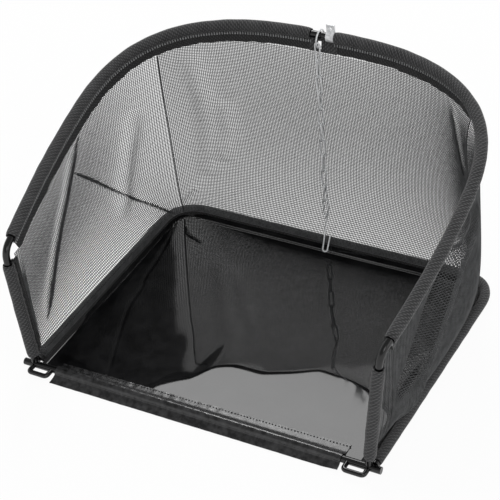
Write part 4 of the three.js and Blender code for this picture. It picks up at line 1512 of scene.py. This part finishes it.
SOFTBOXES = (
    Softbox("key_softbox", (1.3, -1.0, 1.8), (0, 0, 0.08), (0.9, 0.9), 2.6),
    Softbox("rear_softbox", (-0.564, 1.074, 1.536), (0.03, -0.066, 0.004), (0.67, 0.69), 5.5),
    Softbox("low_softbox", (-0.687, 1.471, 1.064), (0.03, -0.066, 0.004), (0.67, 0.576), 2.4),
    Softbox("strip_lamp", (-0.727, 0.939, 1.558), (0.0, -0.13, 0.004), (0.12, 0.3), 20.0),
    Softbox("right_softbox", (1.5, 0.1, 0.9), (0.1, 0, 0.08), (0.8, 0.8), 1.0),
)


@dataclass
class Studio:
    """Camera, pale floor, soft lamps and the white surround."""

    plan: BagPlan = PLAN
    azimuth: float = 29.88
    elevation: float = 34.44
    roll: float = -4.5
    distance: float = 1258.3
    target: tuple[float, float, float] = (0.0, 144.8, 110.0)
    lens: float = 111.87
    shift: tuple[float, float] = (-0.0402, -0.091)
    ambient: float = 0.55
    overhead: float = 0.35
    overhead_from: tuple[float, float] = (0.3, 0.55)
    floor_half: float = 6.0
    floor_gap: float = 0.0004
    floor_white: float = 0.95

    def camera(self) -> None:
        """Places the camera at the picture's view."""
        a, e, r = (math.radians(v) for v in (self.azimuth, self.elevation, self.roll))
        forward = np.array([-math.sin(a) * math.cos(e), math.cos(a) * math.cos(e), -math.sin(e)])
        level = np.array([math.cos(a), math.sin(a), 0.0])
        rise = np.cross(level, forward)
        right = level * math.cos(r) + rise * math.sin(r)
        up = rise * math.cos(r) - level * math.sin(r)
        spot = self.plan.seat(np.array(self.target) - forward * self.distance)
        data = bpy.data.cameras.new("camera")
        data.lens, data.sensor_width = self.lens, 36.0
        data.shift_x, data.shift_y = self.shift
        data.clip_end = 20.0
        made = place("camera", data)
        matrix = Matrix(np.column_stack([right, up, -forward]).tolist()).to_4x4()
        matrix.translation = Vector(spot)
        made.matrix_world = matrix
        bpy.context.scene.camera = made

    def surround(self) -> None:
        """Makes the world: white to the eye, in reflections white low down and grey overhead."""
        world = bpy.data.worlds.new("white_studio")
        bpy.context.scene.world = world
        world.use_nodes = True
        tree = world.node_tree
        rays = add_node(tree, "ShaderNodeLightPath").outputs
        seen = maths(tree, "MAXIMUM", rays["Is Camera Ray"], rays["Is Transmission Ray"])
        plain = span(tree, seen, self.ambient, 1.0)
        way = add_node(tree, "ShaderNodeTexCoord").outputs["Generated"]
        height = add_node(tree, "ShaderNodeSeparateXYZ", inputs={0: way}).outputs["Z"]
        mirrored = span(tree, height, 1.0, self.overhead, *self.overhead_from)
        choice = {0: rays["Is Glossy Ray"], 2: plain, 3: mirrored}
        level = add_node(tree, "ShaderNodeMix", {"data_type": "FLOAT"}, choice)
        connect(tree, tree.nodes["Background"], {"Color": (1, 1, 1, 1), "Strength": level.outputs[0]})

    def floor(self) -> None:
        """Makes the pale floor, white to the eye apart from the bag's shadow."""
        mesh = bpy.data.meshes.new("studio_floor")
        half, low = self.floor_half, CAD_BOX[0].z - self.floor_gap
        corners = [(x * half, y * half, low) for x, y in ((-1, -1), (1, -1), (1, 1), (-1, 1))]
        mesh.from_pydata(corners, [], [(0, 1, 2, 3)])
        material = bpy.data.materials.new("pale_floor")
        material.use_nodes = True
        tree = material.node_tree
        shader = tree.nodes["Principled BSDF"]
        connect(tree, shader, {"Base Color": linear("#f4f4f4"), "Roughness": 0.9})
        rays = add_node(tree, "ShaderNodeLightPath").outputs
        seen = maths(tree, "MAXIMUM", rays["Is Camera Ray"], rays["Is Glossy Ray"])
        glow = add_node(tree, "ShaderNodeEmission", inputs={"Color": (1, 1, 1, 1), "Strength": 1.0})
        share = maths(tree, "MULTIPLY", seen, self.floor_white)
        layers = {0: share, 1: shader.outputs[0], 2: glow.outputs[0]}
        mixed = add_node(tree, "ShaderNodeMixShader", inputs=layers)
        connect(tree, tree.nodes["Material Output"], {"Surface": mixed.outputs[0]})
        mesh.materials.append(material)
        place("studio_floor", mesh)

    def build(self) -> None:
        """Makes the whole studio."""
        self.camera()
        self.surround()
        self.floor()
        for softbox in SOFTBOXES:
            softbox.hang()
        bpy.context.scene.view_settings.view_transform = "Standard"


def main() -> None:
    """Builds the bag's pieces in the order in which they are sewn on, then the studio."""
    logging.basicConfig(level=logging.INFO, format="%(name)s %(message)s")
    Studio().build()
    RodFrame().build()
    ClothTrim().build()
    NetWalls().build()
    VinylFloor().build()
    HangingChain().build()


if __name__ == "__main__":
    main()
